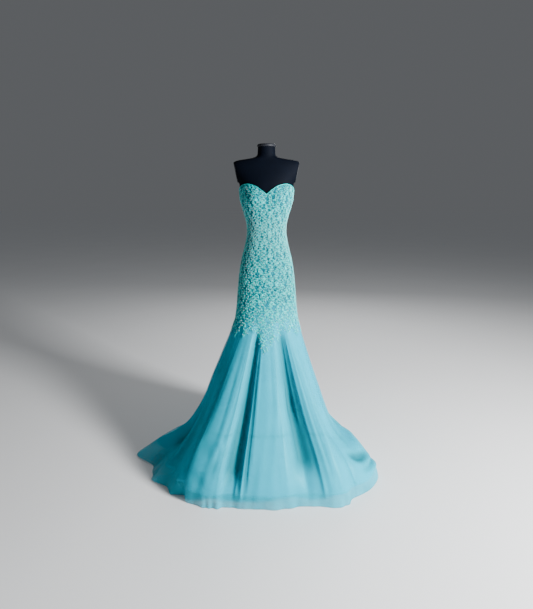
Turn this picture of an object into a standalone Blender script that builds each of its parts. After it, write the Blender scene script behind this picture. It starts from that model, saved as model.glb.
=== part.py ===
"""Strapless mermaid gown with a swept train, standing on a limbless dress form with a round base.

The gown is a lace-covered sheath down to the knee seam, then tulle gores over satin gores and a satin
flounce. Metres, +Z up. The front faces -Y, and the wearer's left side is +X. The origin is the centre
of the stand's underside, on the floor.
"""
import math
from collections import namedtuple

import bmesh
import bpy
import numpy as np
from mathutils import Vector

# Cloth thicknesses and clearances
SHEATH_WALL = 0.0020
APPLIQUE_HEIGHT = 0.0012
TULLE_WALL = 0.0010
SATIN_WALL = 0.0012
LACE_WALL = 0.0012
SEAM_GAP = 0.0003
FLOUNCE_GAP = 0.0008
LAYER_GAP = 0.0005
BORDER_GAP = 0.0018
SATIN_DEPTH = 0.0060
FORM_GAP = 0.0014
SKIRT_TUCK = LACE_WALL + BORDER_GAP

# Heights of the gown's seams and edges
KNEE_SEAM = 0.720
BINDING_WIDTH = 0.007
ZIP_BOTTOM = 0.980
SATIN_HEM_LEVEL = 9.0
FLOUNCE_LEVEL = 6.0
HEM_LEVEL = 10.0

# Divisions of the cloth
SHEATH_COLUMNS = 40
SHEATH_ROWS = 26
BORDER_ROWS = 2

# Bust cups of the sheath, forward of its plain section
CUP_HEIGHT = 1.372
CUP_APART = 0.066
CUP_FORWARD = 0.019
CUP_WIDTH = 0.046
CUP_DROP = 0.046
CUP_FADE = 1.6
FORM_CUP_FORWARD = 0.010

# Leaf sprays of the lace, round the body and up it: how far each row sways and each column bends, in
# radians, and the share of their height left at the panels' edges
SPRAYS_ROUND = 10
SPRAY_PITCH = 0.110
SPRAY_SWAY = 0.8
SPRAY_BEND = 0.9
EDGE_RELIEF = 0.4

# Dress form and stand
FORM_COLUMNS = 40
FORM_BOTTOM = 0.880
FORM_BUST_TOP = 1.445
FORM_ROWS = 20
NECK_TOP = 1.652
CAP_THICKNESS = 0.016
CAP_HALF_WIDTH = 0.0515
CAP_HALF_DEPTH = 0.0510
CAP_MIDDLE = 0.0025
CAP_ROUNDING = 0.006
PLATE_FOOT = Vector((0.1455, 0.0, 1.415))
PLATE_HEAD = Vector((0.1755, 0.0, 1.562))
PLATE_THICKNESS = 0.0045
PLATE_SHARE = 0.97
POLE_RADIUS = 0.0125
BASE_RADIUS = 0.160
BASE_THICKNESS = 0.014
STEEL_CHAMFER = 0.004
COLLAR_RADIUS = 0.028
COLLAR_HEIGHT = 0.035

# Back zip, its slider and its pull tab
ZIP_HALF = 0.0035
ZIP_WALL = 0.0010
SLIDER_HEIGHT = 1.352
SLIDER_SIZE = Vector((0.0080, 0.0030, 0.0100))
SLIDER_CHAMFER = 0.0006
LUG_WIDTH = 0.0009
LUG_REACH = 0.0026
LUG_HEIGHT = 0.0026
LUG_ROOT = 0.0005
PULL_WIDTH = 0.0042
PULL_LENGTH = 0.022
PULL_THICKNESS = 0.0012
PULL_ROUNDING = 0.45

# Level sections of the sheath up to the neckline, and of the form above it
Section = namedtuple("Section", "height half_width front back")
SECTIONS = (
    Section(0.690, 0.1760, 0.134, 0.136),
    Section(0.720, 0.1705, 0.128, 0.133),
    Section(0.766, 0.1640, 0.120, 0.131),
    Section(0.832, 0.1590, 0.113, 0.133),
    Section(0.898, 0.1540, 0.108, 0.134),
    Section(0.964, 0.1475, 0.104, 0.130),
    Section(1.030, 0.1370, 0.099, 0.118),
    Section(1.096, 0.1215, 0.093, 0.102),
    Section(1.140, 0.1115, 0.088, 0.091),
    Section(1.190, 0.1055, 0.085, 0.083),
    Section(1.228, 0.1080, 0.087, 0.081),
    Section(1.262, 0.1155, 0.091, 0.084),
    Section(1.294, 0.1250, 0.096, 0.089),
    Section(1.328, 0.1355, 0.102, 0.095),
    Section(1.361, 0.1445, 0.106, 0.099),
    Section(1.400, 0.1490, 0.105, 0.102),
    Section(1.445, 0.1520, 0.098, 0.104),
    Section(1.480, 0.1720, 0.088, 0.104),
    Section(1.520, 0.1920, 0.074, 0.098),
    Section(1.550, 0.1980, 0.063, 0.086),
    Section(1.568, 0.1860, 0.056, 0.071),
    Section(1.580, 0.1500, 0.052, 0.062),
    Section(1.588, 0.0950, 0.051, 0.058),
    Section(1.598, 0.0620, 0.050, 0.056),
    Section(1.612, 0.0530, 0.050, 0.055),
    Section(NECK_TOP, 0.0510, 0.048, 0.053),
)

# Top edge of the sheath: angle in degrees from the front centre, the same on both sides
Edge = namedtuple("Edge", "angle height")
NECKLINE = (
    Edge(0, 1.389),
    Edge(9, 1.4085),
    Edge(18, 1.4260),
    Edge(31, 1.4400),
    Edge(44, 1.4450),
    Edge(58, 1.4405),
    Edge(74, 1.4275),
    Edge(90, 1.4110),
    Edge(120, 1.3960),
    Edge(150, 1.3830),
    Edge(180, 1.3750),
)

# Points of the lace that hang over the skirt: angle of each point, drop in levels, half width in degrees
Tongue = namedtuple("Tongue", "angle drop half_width")
TONGUES = (
    Tongue(-160, 0.95, 11),
    Tongue(-138, 0.70, 10),
    Tongue(-116, 1.05, 11),
    Tongue(-96, 0.75, 9),
    Tongue(-77, 1.25, 10),
    Tongue(-57, 0.95, 10),
    Tongue(-36, 0.85, 9),
    Tongue(-19, 0.60, 8),
    Tongue(0, 1.62, 17),
    Tongue(16, 1.05, 9),
    Tongue(36, 0.55, 9),
    Tongue(56, 0.80, 9),
    Tongue(76, 0.62, 9),
    Tongue(96, 0.90, 10),
    Tongue(117, 0.75, 11),
    Tongue(139, 1.00, 10),
    Tongue(160, 0.72, 10),
    Tongue(180, 1.20, 11),
)
TONGUE_ROOT = 0.30
TONGUE_TAPER = 0.8

# Side views of the skirt from the knee seam to the hem: the share of the way out, and the height. A
# tuck is a trough of the bell, which comes back out to the hem.
Level = namedtuple("Level", "bell_out bell_up tuck_out tuck_up side_out side_up mound_out mound_up"
                   " train_out train_up")
LEVELS = (
    Level(0.00, 0.720, 0.000, 0.720, 0.000, 0.7200, 0.000, 0.7200, 0.000, 0.7200),
    Level(0.12, 0.630, 0.085, 0.630, 0.060, 0.6400, 0.090, 0.6100, 0.030, 0.6300),
    Level(0.24, 0.545, 0.175, 0.545, 0.120, 0.5650, 0.190, 0.5000, 0.065, 0.5400),
    Level(0.36, 0.465, 0.275, 0.465, 0.180, 0.4900, 0.290, 0.3850, 0.105, 0.4450),
    Level(0.48, 0.388, 0.385, 0.388, 0.245, 0.4100, 0.385, 0.2800, 0.150, 0.3500),
    Level(0.60, 0.315, 0.500, 0.315, 0.310, 0.3200, 0.470, 0.2050, 0.210, 0.2500),
    Level(0.70, 0.262, 0.600, 0.262, 0.385, 0.2350, 0.600, 0.1560, 0.290, 0.1600),
    Level(0.83, 0.195, 0.735, 0.195, 0.480, 0.1650, 0.770, 0.1320, 0.410, 0.0850),
    Level(0.94, 0.122, 0.865, 0.122, 0.620, 0.1100, 0.900, 0.0900, 0.580, 0.0420),
    Level(1.00, 0.052, 0.975, 0.052, 0.800, 0.0600, 0.980, 0.0380, 0.790, 0.0190),
    Level(1.00, 0.000, 1.000, 0.000, 1.000, 0.0012, 1.000, 0.0012, 1.000, 0.0012),
)

# Folds of the skirt, ridges and troughs in turn, from the back centre round by the left of the front
# view: the angle at the knee seam, the place of the hem on the floor, and the side view it takes, or
# the equal mix of side views
Fold = namedtuple("Fold", "knee_angle hem_x hem_y shape")
FOLDS = (
    Fold(-180, 0.000, 0.950, "train"),
    Fold(-171, -0.080, 0.925, "train"),
    Fold(-162, -0.160, 0.920, "train"),
    Fold(-153, -0.225, 0.865, "train"),
    Fold(-145, -0.298, 0.825, "train"),
    Fold(-136, -0.335, 0.715, "train"),
    Fold(-128, -0.388, 0.605, "train"),
    Fold(-121, -0.385, 0.480, "train+train+side"),
    Fold(-114, -0.420, 0.370, "train+side"),
    Fold(-108, -0.430, 0.265, "train+side+side"),
    Fold(-101, -0.560, 0.165, "side"),
    Fold(-94, -0.640, 0.050, "side"),
    Fold(-87, -0.690, -0.070, "side"),
    Fold(-79, -0.580, -0.180, "side"),
    Fold(-70, -0.555, -0.290, "side+side+bell"),
    Fold(-61, -0.470, -0.345, "side+bell"),
    Fold(-53, -0.440, -0.400, "side+bell+bell"),
    Fold(-46, -0.375, -0.405, "bell"),
    Fold(-38, -0.364, -0.448, "bell"),
    Fold(-31, -0.312, -0.474, "bell"),
    Fold(-26, -0.262, -0.492, "bell"),
    Fold(-21.5, -0.222, -0.494, "bell"),
    Fold(-17.5, -0.192, -0.486, "bell+tuck"),
    Fold(-13.5, -0.158, -0.488, "tuck"),
    Fold(-9.5, -0.122, -0.498, "bell+tuck"),
    Fold(-5.5, -0.085, -0.496, "bell"),
    Fold(0, -0.030, -0.502, "bell"),
    Fold(6, 0.035, -0.500, "bell"),
    Fold(12, 0.095, -0.494, "bell"),
    Fold(17, 0.145, -0.484, "bell+tuck"),
    Fold(22, 0.190, -0.476, "tuck"),
    Fold(27.5, 0.238, -0.480, "bell+tuck"),
    Fold(34, 0.290, -0.486, "bell"),
    Fold(43, 0.352, -0.474, "bell"),
    Fold(52, 0.410, -0.415, "bell+mound"),
    Fold(62, 0.482, -0.372, "bell+mound+mound"),
    Fold(72, 0.549, -0.240, "mound"),
    Fold(82, 0.522, -0.130, "mound"),
    Fold(91, 0.515, -0.020, "mound+side"),
    Fold(100, 0.435, 0.085, "side"),
    Fold(108, 0.418, 0.200, "side+side+train"),
    Fold(116, 0.375, 0.300, "side+train"),
    Fold(124, 0.388, 0.420, "side+train+train"),
    Fold(132, 0.350, 0.535, "train"),
    Fold(140, 0.355, 0.660, "train"),
    Fold(149, 0.290, 0.750, "train"),
    Fold(157, 0.238, 0.862, "train"),
    Fold(166, 0.155, 0.890, "train"),
    Fold(173, 0.080, 0.942, "train"),
)

# Gores of the skirt: the folds that their seams run down, by their place in the table above, and the
# columns of tulle and of satin for each fold
Gore = namedtuple("Gore", "name first last splits satin_splits")
GORES = (
    Gore("back_left", 0, 9, 1, 1),
    Gore("left", 9, 17, 2, 1),
    Gore("front", 17, 34, 2, 2),
    Gore("right", 34, 41, 2, 1),
    Gore("back_right", 41, 49, 1, 1),
)

# Panels of the sheath, by the angles of their seams
Panel = namedtuple("Panel", "name first last")
PANELS = (
    Panel("back_left", -180, -90),
    Panel("front", -90, 90),
    Panel("back_right", 90, 180),
)

Finish = namedtuple("Finish", "name colour roughness metallic")
LACE = Finish("Beaded lace", (0.55, 0.90, 0.93), 0.55, 0.0)
TULLE = Finish("Tulle", (0.42, 0.84, 0.92), 0.70, 0.0)
SATIN = Finish("Satin", (0.30, 0.78, 0.88), 0.35, 0.0)
ZIP_TAPE = Finish("Zip tape", (0.32, 0.72, 0.80), 0.60, 0.0)
ZIP_METAL = Finish("Zip metal", (0.72, 0.74, 0.76), 0.30, 1.0)
FORM_COVER = Finish("Form jersey", (0.012, 0.016, 0.026), 0.80, 0.0)
FORM_CAP = Finish("Form lacquer", (0.010, 0.012, 0.018), 0.35, 0.0)
STAND_STEEL = Finish("Stand steel", (0.020, 0.022, 0.026), 0.40, 0.6)


def smooth_through(places, values, at):
    """Read a smooth curve through the points of a table, which never swings past them."""
    places = np.asarray(places, float)
    values = np.asarray(values, float)
    steps = np.diff(places)
    rises = np.diff(values) / steps
    slopes = np.zeros_like(values)
    slopes[0] = rises[0]
    slopes[-1] = rises[-1]
    before, after = rises[:-1], rises[1:]
    same_way = before * after > 0
    weight = steps[:-1] + steps[1:]
    blended = np.zeros_like(before)
    first = (2 * steps[1:] + steps[:-1]) / (3 * weight)
    blended[same_way] = 1.0 / (
        first[same_way] / before[same_way] + (1 - first[same_way]) / after[same_way])
    slopes[1:-1] = blended
    at = np.clip(np.asarray(at, float), places[0], places[-1])
    cell = np.clip(np.searchsorted(places, at, side="right") - 1, 0, len(steps) - 1)
    width = steps[cell]
    share = (at - places[cell]) / width
    square, cube = share ** 2, share ** 3
    return ((2 * cube - 3 * square + 1) * values[cell]
            + (cube - 2 * square + share) * width * slopes[cell]
            + (3 * square - 2 * cube) * values[cell + 1]
            + (cube - square) * width * slopes[cell + 1])


def column_of(table, name):
    return [getattr(row, name) for row in table]


def section_at(name, height):
    """Read one size of the level sections at a height."""
    return smooth_through(column_of(SECTIONS, "height"), column_of(SECTIONS, name), height)


def body(angle, height, cup_forward=CUP_FORWARD):
    """Surface of the sheath, and of the form above it, at an angle in degrees and a height."""
    half_width = section_at("half_width", height)
    front = section_at("front", height)
    back = section_at("back", height)
    turn = np.radians(angle)
    forward = np.cos(turn)
    x = half_width * np.sin(turn)
    y = -np.where(forward > 0, front, back) * forward
    across = (np.abs(x) - CUP_APART) / CUP_WIDTH
    up = (height - CUP_HEIGHT) / CUP_DROP
    cup = cup_forward * np.exp(-across ** 2 - up ** 2) * np.clip(forward * CUP_FADE, 0, 1)
    return np.stack([x, y - cup, height + 0 * x], axis=-1)


def neckline(angle):
    """Height of the sheath's top edge at an angle from the front centre."""
    folded = np.abs((np.asarray(angle, float) + 180) % 360 - 180)
    return smooth_through(column_of(NECKLINE, "angle"), column_of(NECKLINE, "height"), folded)


def form_body(angle, height):
    """Surface that the form lies under, whose bust is flatter than the boned cups."""
    return body(angle, height, FORM_CUP_FORWARD)


def applique(angle, height):
    """How far the leaf sprays of the lace stand out of the sheath, from 0 to 1."""
    across = np.radians(angle) * SPRAYS_ROUND
    up = height / SPRAY_PITCH * 2 * math.pi
    sway = np.sin(across + SPRAY_SWAY * np.sin(up))
    return 0.5 + 0.5 * sway * np.sin(up + SPRAY_BEND * np.sin(across))


def folds_round(name, place):
    """Read one number of the fold table at a place round the hem, over the back centre too."""
    values = column_of(FOLDS, name)
    turn = 360.0 if name == "knee_angle" else 0.0
    lead = 2
    wrapped = ([value - turn for value in values[-lead:]] + values
               + [value + turn for value in values[:lead + 1]])
    return smooth_through(range(-lead, len(values) + lead + 1), wrapped, place)


def side_view(kind, place, level):
    """Read the side views at a place round the hem and a level down the skirt."""
    before = np.floor(place).astype(int)
    share = place - before
    mixes = [fold.shape.split("+") for fold in FOLDS]
    total = np.zeros_like(place)
    for shape in ("bell", "tuck", "side", "mound", "train"):
        view = smooth_through(range(len(LEVELS)), column_of(LEVELS, shape + kind), level)
        used = np.array([mix.count(shape) / len(mix) for mix in mixes])
        near = used[before % len(used)] * (1 - share) + used[(before + 1) % len(used)] * share
        total = total + view * near
    return total


def skirt(place, level):
    """Surface of the tulle at a place round the hem, in folds, and a level down from the knee seam."""
    place, level = np.broadcast_arrays(np.asarray(place, float), np.asarray(level, float))
    knee = body(folds_round("knee_angle", place), np.full(place.shape, KNEE_SEAM))
    inset = 1 - SKIRT_TUCK / np.hypot(knee[..., 0], knee[..., 1])
    out = side_view("_out", place, level)
    x = knee[..., 0] * inset * (1 - out) + folds_round("hem_x", place) * out
    y = knee[..., 1] * inset * (1 - out) + folds_round("hem_y", place) * out
    return np.stack([x, y, side_view("_up", place, level)], axis=-1)


def skirt_facets(place, level):
    """Surface of the tulle, straight between its levels."""
    place, level = np.broadcast_arrays(np.asarray(place, float), np.asarray(level, float))
    above = np.floor(level)
    share = (level - above)[..., None]
    return skirt(place, above) * (1 - share) + skirt(place, above + 1) * share


def cloth_points(surface, along, down, lift, nudge_along=0.0, nudge_down=0.0, turn=1.0):
    """Points of a surface, moved out by lift and along the cloth by the nudges at its seams."""
    step = 1e-3
    middle = surface(along, down)
    run = surface(along + step, down) - surface(along - step, down)
    drop = surface(along, down + step) - surface(along, down - step)
    run = run / np.linalg.norm(run, axis=-1, keepdims=True)
    drop = drop / np.linalg.norm(drop, axis=-1, keepdims=True)
    out = np.cross(drop, run) * turn
    out = out / np.linalg.norm(out, axis=-1, keepdims=True)
    return (middle + out * np.reshape(lift, (-1, 1)) + run * np.reshape(nudge_along, (-1, 1))
            + drop * np.reshape(nudge_down, (-1, 1)))


def level_rim(cloth, rim, height):
    """Bring the points of a rim to one height."""
    cloth[:, 2] = np.where(rim, height, cloth[:, 2])
    return cloth


def seam_nudge(share):
    """Half the seam gap, inwards from each end of a piece."""
    return np.where(share < 1e-6, SEAM_GAP / 2, np.where(share > 1 - 1e-6, -SEAM_GAP / 2, 0.0))


def finish_material(finish):
    material = bpy.data.materials.get(finish.name)
    if material is None:
        material = bpy.data.materials.new(finish.name)
        material.use_nodes = True
        shader = material.node_tree.nodes["Principled BSDF"]
        shader.inputs["Base Color"].default_value = (*finish.colour, 1.0)
        shader.inputs["Roughness"].default_value = finish.roughness
        shader.inputs["Metallic"].default_value = finish.metallic
    return material


def add_object(name, bm, finish, smooth_angle=40):
    """Turn a closed bmesh, whose faces agree, into a named object with its material."""
    if bm.calc_volume(signed=True) < 0:
        bmesh.ops.reverse_faces(bm, faces=bm.faces[:])
    mesh = bpy.data.meshes.new(name)
    bm.to_mesh(mesh)
    bm.free()
    mesh.shade_smooth()
    mesh.set_sharp_from_angle(angle=math.radians(smooth_angle))
    mesh.materials.append(finish_material(finish))
    shape = bpy.data.objects.new(name, mesh)
    bpy.context.scene.collection.objects.link(shape)
    return shape


def cloth_wall(name, columns, rows, outside, inside, finish):
    """A closed wall of cloth: a flat slab, one unit wide and deep, whose two sides are bent to shape.

    outside and inside take the shares across and down the piece and give points."""
    bm = bmesh.new()
    bmesh.ops.create_grid(bm, x_segments=columns, y_segments=rows, size=0.5)
    bmesh.ops.translate(bm, verts=bm.verts[:], vec=(0.5, 0.5, 0.0))
    bmesh.ops.solidify(bm, geom=bm.faces[:], thickness=1.0)
    bmesh.ops.recalc_face_normals(bm, faces=bm.faces[:])
    heights = [vert.co.z for vert in bm.verts]
    middle = (min(heights) + max(heights)) / 2
    verts = bm.verts[:]
    across = np.array([vert.co.x for vert in verts])
    down = np.array([vert.co.y for vert in verts])
    outer = np.array([vert.co.z > middle for vert in verts])
    places = np.where(outer[:, None], outside(across, down), inside(across, down))
    for vert, place in zip(verts, places):
        vert.co = place
    return add_object(name, bm, finish)


def sheath_panel(panel):
    """One lace-covered panel of the sheath: raised leaf sprays outside, plain inside."""
    columns = round(SHEATH_COLUMNS * (panel.last - panel.first) / 360)

    def side(lift_of):
        def points(across, down):
            angle = panel.first + (panel.last - panel.first) * across
            top = neckline(angle)
            height = top + (KNEE_SEAM - top) * down
            cloth = cloth_points(body, angle, height, lift_of(angle, height, down), seam_nudge(across),
                                 turn=-1)
            return level_rim(cloth, down > 1 - 1e-6, KNEE_SEAM + SEAM_GAP / 2)
        return points

    def raised(angle, height, down):
        inside_edges = (down > 1e-6) & (down < 1 - 1e-6)
        return APPLIQUE_HEIGHT * np.where(inside_edges, applique(angle, height), EDGE_RELIEF)

    cloth_wall("sheath_" + panel.name, columns, SHEATH_ROWS, side(raised),
               side(lambda angle, height, down: -SHEATH_WALL + 0 * angle), LACE)


def neckline_binding():
    """The narrow rolled binding that runs round the top edge, open at the zip."""
    clear_of_zip = ZIP_HALF * 1.5
    end = 180 - math.degrees(clear_of_zip / section_at("half_width", neckline(180)))

    def side(lift):
        def points(across, down):
            angle = -end + 2 * end * across
            height = neckline(angle) - BINDING_WIDTH * down
            return cloth_points(body, angle, height, lift + 0 * angle, turn=-1)
        return points

    outer = APPLIQUE_HEIGHT + LAYER_GAP
    cloth_wall("neckline_binding", SHEATH_COLUMNS, 1, side(outer + LACE_WALL), side(outer), LACE)


def skirt_panel(name, gore, splits, levels, depth, wall, finish):
    """One gore of a skirt layer between two levels, hung depth inside the tulle's outer side.

    Every layer is sewn in at the knee seam, so there it lies close under the tulle."""
    first_level, last_level = levels
    columns = (gore.last - gore.first) * splits
    rows = math.ceil(last_level) - math.floor(first_level)

    def side(inward):
        def points(across, down):
            place = gore.first + (gore.last - gore.first) * across
            level = np.minimum(first_level + rows * down, last_level)
            sewn_in = min(depth, TULLE_WALL + LAYER_GAP)
            lift = -(sewn_in + (depth - sewn_in) * np.clip(level, 0, 1)) - inward
            at_flounce = (level == FLOUNCE_LEVEL) & (depth > 0)
            ease = np.where(at_flounce, FLOUNCE_GAP, SEAM_GAP) / SEAM_GAP
            free_hem = (last_level > FLOUNCE_LEVEL) & (down > 0.5)
            cloth = cloth_points(skirt, place, level, lift, seam_nudge(across),
                                 np.where(free_hem, 0.0, seam_nudge(down) * ease))
            if first_level == 0:
                cloth = level_rim(cloth, down < 1e-6, KNEE_SEAM - SEAM_GAP / 2)
            lowest = 0.0 if inward else wall
            cloth[:, 2] = np.where((cloth[:, 2] < lowest) & (down < 1 - 1e-6), lowest, cloth[:, 2])
            cloth[:, 2] = np.maximum(cloth[:, 2], 0.0)
            return cloth
        return points

    cloth_wall(name, columns, rows, side(0.0), side(wall), finish)


def lace_edge(angle):
    """How many levels down the skirt the pointed edge of the lace reaches at an angle."""
    reach = np.full(np.shape(angle), TONGUE_ROOT)
    for tongue in TONGUES:
        away = np.abs((angle - tongue.angle + 180) % 360 - 180) / tongue.half_width
        taper = np.clip(1 - away, 0, 1) ** TONGUE_TAPER
        reach = np.maximum(reach, TONGUE_ROOT + (tongue.drop - TONGUE_ROOT) * taper)
    return reach


def lace_border(gore):
    """The pointed lower edge of the lace, which lies on the top of one gore of the skirt."""
    columns = (gore.last - gore.first) * gore.splits

    def side(lift):
        def points(across, down):
            place = gore.first + (gore.last - gore.first) * across
            level = lace_edge(folds_round("knee_angle", place)) * down
            cloth = cloth_points(skirt_facets, place, level, lift + 0 * place, seam_nudge(across))
            return level_rim(cloth, down < 1e-6, KNEE_SEAM - SEAM_GAP / 2)
        return points

    cloth_wall("lace_border_" + gore.name, columns, BORDER_ROWS, side(BORDER_GAP + LACE_WALL),
               side(BORDER_GAP), LACE)


def zip_strip():
    """The folded tapes of the back zip, on the centre back seam."""
    def side(lift):
        def points(across, down):
            height = neckline(180) + (ZIP_BOTTOM - neckline(180)) * down
            reach = section_at("half_width", height)
            angle = 180 + np.degrees(np.arcsin(ZIP_HALF * (2 * across - 1) / reach))
            return cloth_points(body, angle, height, lift + 0 * angle, turn=-1)
        return points

    outer = APPLIQUE_HEIGHT + LAYER_GAP
    cloth_wall("back_zip", 2, 12, side(outer + ZIP_WALL), side(outer), ZIP_TAPE)


def block(bm, size, centre):
    """Add a box to a bmesh."""
    made = bmesh.ops.create_cube(bm, size=1.0)
    bmesh.ops.scale(bm, verts=made["verts"], vec=size)
    bmesh.ops.translate(bm, verts=made["verts"], vec=centre)


def union_with(shape, others):
    """Fuse guide boxes into a shape, and hide the guides."""
    for other in others:
        modifier = shape.modifiers.new("Union", "BOOLEAN")
        modifier.operation = "UNION"
        modifier.solver = "EXACT"
        modifier.object = other
        other.hide_render = True
        other.display_type = "WIRE"


def zip_slider_and_pull():
    """The slider at the top of the zip, with two lugs, and the pull tab that swings between them."""
    tape = (cloth_points(body, np.array([180.0]), np.array([SLIDER_HEIGHT]),
                         np.array([APPLIQUE_HEIGHT + LAYER_GAP + ZIP_WALL]), turn=-1)[0])
    back = tape[1] + 2 * SEAM_GAP
    face = back + SLIDER_SIZE.y
    bm = bmesh.new()
    block(bm, SLIDER_SIZE, (0.0, (back + face) / 2, SLIDER_HEIGHT))
    bmesh.ops.bevel(bm, geom=bm.edges[:], offset=SLIDER_CHAMFER, segments=1, profile=0.5, affect="EDGES")
    slider = add_object("zip_slider", bm, ZIP_METAL)
    pivot = Vector((0.0, face + SEAM_GAP + PULL_THICKNESS / 2, SLIDER_HEIGHT))
    lugs = []
    for side in (-1, 1):
        bm = bmesh.new()
        apart = PULL_WIDTH / 2 + SEAM_GAP + LUG_WIDTH / 2
        centre = (side * apart, face + LUG_REACH / 2 - LUG_ROOT, SLIDER_HEIGHT)
        block(bm, (LUG_WIDTH, LUG_REACH, LUG_HEIGHT), centre)
        lugs.append(add_object("lug_guide_%d" % (side + 2), bm, ZIP_METAL))
    union_with(slider, lugs)

    bm = bmesh.new()
    block(bm, (PULL_WIDTH, PULL_THICKNESS, PULL_LENGTH), (0, 0, -PULL_LENGTH / 2 + PULL_THICKNESS / 2))
    root = [edge for edge in bm.edges if all(vert.co.z > 0 for vert in edge.verts)
            and abs(edge.verts[0].co.x - edge.verts[1].co.x) > PULL_WIDTH / 2]
    bmesh.ops.bevel(bm, geom=root, offset=PULL_THICKNESS * PULL_ROUNDING, segments=3, profile=0.5,
                    affect="EDGES")
    foot = [edge for edge in bm.edges if all(vert.co.z < -PULL_LENGTH / 2 for vert in edge.verts)
            and abs(edge.verts[0].co.y - edge.verts[1].co.y) > PULL_THICKNESS / 2]
    bmesh.ops.bevel(bm, geom=foot, offset=PULL_WIDTH * PULL_ROUNDING, segments=3, profile=0.5,
                    affect="EDGES")
    pull = add_object("zip_pull", bm, ZIP_METAL)
    pull.location = pivot


def form_torso():
    """The padded torso of the form, with flat armholes cut for its plates, and the plates themselves."""
    shoulders = [section.height for section in SECTIONS if section.height > FORM_BUST_TOP]
    levels = np.concatenate([np.linspace(FORM_BOTTOM, FORM_BUST_TOP, FORM_ROWS), shoulders])
    bm = bmesh.new()
    bmesh.ops.create_grid(bm, x_segments=FORM_COLUMNS, y_segments=len(levels) - 1, size=0.5)
    verts = bm.verts[:]
    angle = np.array([(vert.co.x + 0.5) * 360 - 180 for vert in verts])
    row = np.array([round((vert.co.y + 0.5) * (len(levels) - 1)) for vert in verts])
    places = cloth_points(form_body, angle, levels[row], -(SHEATH_WALL + FORM_GAP) + 0 * angle, turn=-1)
    places[:, 2] = levels[row]
    for vert, place in zip(verts, places):
        vert.co = place
    bmesh.ops.remove_doubles(bm, verts=bm.verts[:], dist=1e-5)
    bmesh.ops.holes_fill(bm, edges=[edge for edge in bm.edges if edge.is_boundary], sides=0)
    bmesh.ops.recalc_face_normals(bm, faces=bm.faces[:])
    rise = PLATE_HEAD - PLATE_FOOT
    plates = []
    for side in (-1, 1):
        foot = Vector((side * PLATE_FOOT.x, 0, PLATE_FOOT.z))
        outward = Vector((side * rise.z, 0, -rise.x)).normalized()
        upper = [face for face in bm.faces
                 if all(vert.co.z > FORM_BUST_TOP - 1e-4 for vert in face.verts)]
        rims = {edge for face in upper for edge in face.edges}
        corners = {vert for face in upper for vert in face.verts}
        bmesh.ops.bisect_plane(bm, geom=list(corners) + list(rims) + upper, dist=1e-6,
                               plane_co=foot, plane_no=outward, clear_outer=True)
        rim = [edge for edge in bm.edges if edge.is_boundary]
        filled = bmesh.ops.holes_fill(bm, edges=rim, sides=0)["faces"]
        outline = [vert.co.copy() for vert in filled[0].verts]
        plates.append((side, outward, outline))
    add_object("form_torso", bm, FORM_COVER)
    for side, outward, outline in plates:
        bm = bmesh.new()
        centre = sum(outline, Vector()) / len(outline)
        face = bm.faces.new([bm.verts.new(centre + (point - centre) * PLATE_SHARE + outward * SEAM_GAP)
                             for point in outline])
        grown = bmesh.ops.extrude_face_region(bm, geom=[face], use_keep_orig=True)
        moved = [part for part in grown["geom"] if isinstance(part, bmesh.types.BMVert)]
        bmesh.ops.translate(bm, verts=moved, vec=outward * PLATE_THICKNESS)
        bmesh.ops.recalc_face_normals(bm, faces=bm.faces[:])
        add_object("form_arm_plate_" + ("left" if side < 0 else "right"), bm, FORM_CAP)


def turned(name, outline, finish, segments=48, stretch=(1.0, 1.0)):
    """A round piece spun about the vertical axis from its outline of (radius, height) points."""
    bm = bmesh.new()
    verts = [bm.verts.new((radius, 0, height)) for radius, height in outline]
    edges = [bm.edges.new(pair) for pair in zip(verts, verts[1:])]
    bmesh.ops.spin(bm, geom=verts + edges, cent=(0, 0, 0), axis=(0, 0, 1), angle=2 * math.pi,
                   steps=segments, use_merge=True)
    bmesh.ops.remove_doubles(bm, verts=bm.verts[:], dist=1e-6)
    bmesh.ops.recalc_face_normals(bm, faces=bm.faces[:])
    bmesh.ops.scale(bm, verts=bm.verts[:], vec=(*stretch, 1.0))
    return add_object(name, bm, finish)


def neck_cap():
    """The lacquered cap on the neck, with a rounded top edge."""
    bottom = NECK_TOP + SEAM_GAP
    top = NECK_TOP + CAP_THICKNESS
    cap = turned("form_neck_cap", [(0, bottom), (0.95, bottom), (1.0, bottom + CAP_ROUNDING / 2),
                                   (1.0, top - CAP_ROUNDING), (0.93, top - CAP_ROUNDING / 6),
                                   (0.80, top), (0, top)],
                 FORM_CAP, 24, (CAP_HALF_WIDTH, CAP_HALF_DEPTH))
    for vert in cap.data.vertices:
        vert.co.y += CAP_MIDDLE


def stand():
    """The round base, the pole and its two collars."""
    edge = STEEL_CHAMFER
    turned("stand_base", [(0, 0), (BASE_RADIUS - edge, 0), (BASE_RADIUS, edge),
                          (BASE_RADIUS, BASE_THICKNESS - edge), (BASE_RADIUS - edge, BASE_THICKNESS),
                          (0, BASE_THICKNESS)], STAND_STEEL, 36)
    foot = BASE_THICKNESS + SEAM_GAP
    collar_top = foot + COLLAR_HEIGHT
    bore = POLE_RADIUS + SEAM_GAP
    turned("stand_foot_collar", [(bore, foot), (COLLAR_RADIUS, foot), (COLLAR_RADIUS, collar_top - edge),
                                 (COLLAR_RADIUS - edge, collar_top), (bore, collar_top), (bore, foot)],
           STAND_STEEL, 16)
    head = FORM_BOTTOM - SEAM_GAP
    turned("stand_pole", [(0, foot), (POLE_RADIUS, foot), (POLE_RADIUS, head), (0, head)], STAND_STEEL, 16)
    turned("stand_head_collar", [(bore, head - COLLAR_HEIGHT), (COLLAR_RADIUS - edge, head - COLLAR_HEIGHT),
                                 (COLLAR_RADIUS, head - COLLAR_HEIGHT + edge), (COLLAR_RADIUS, head),
                                 (bore, head), (bore, head - COLLAR_HEIGHT)], STAND_STEEL, 16)


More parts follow.
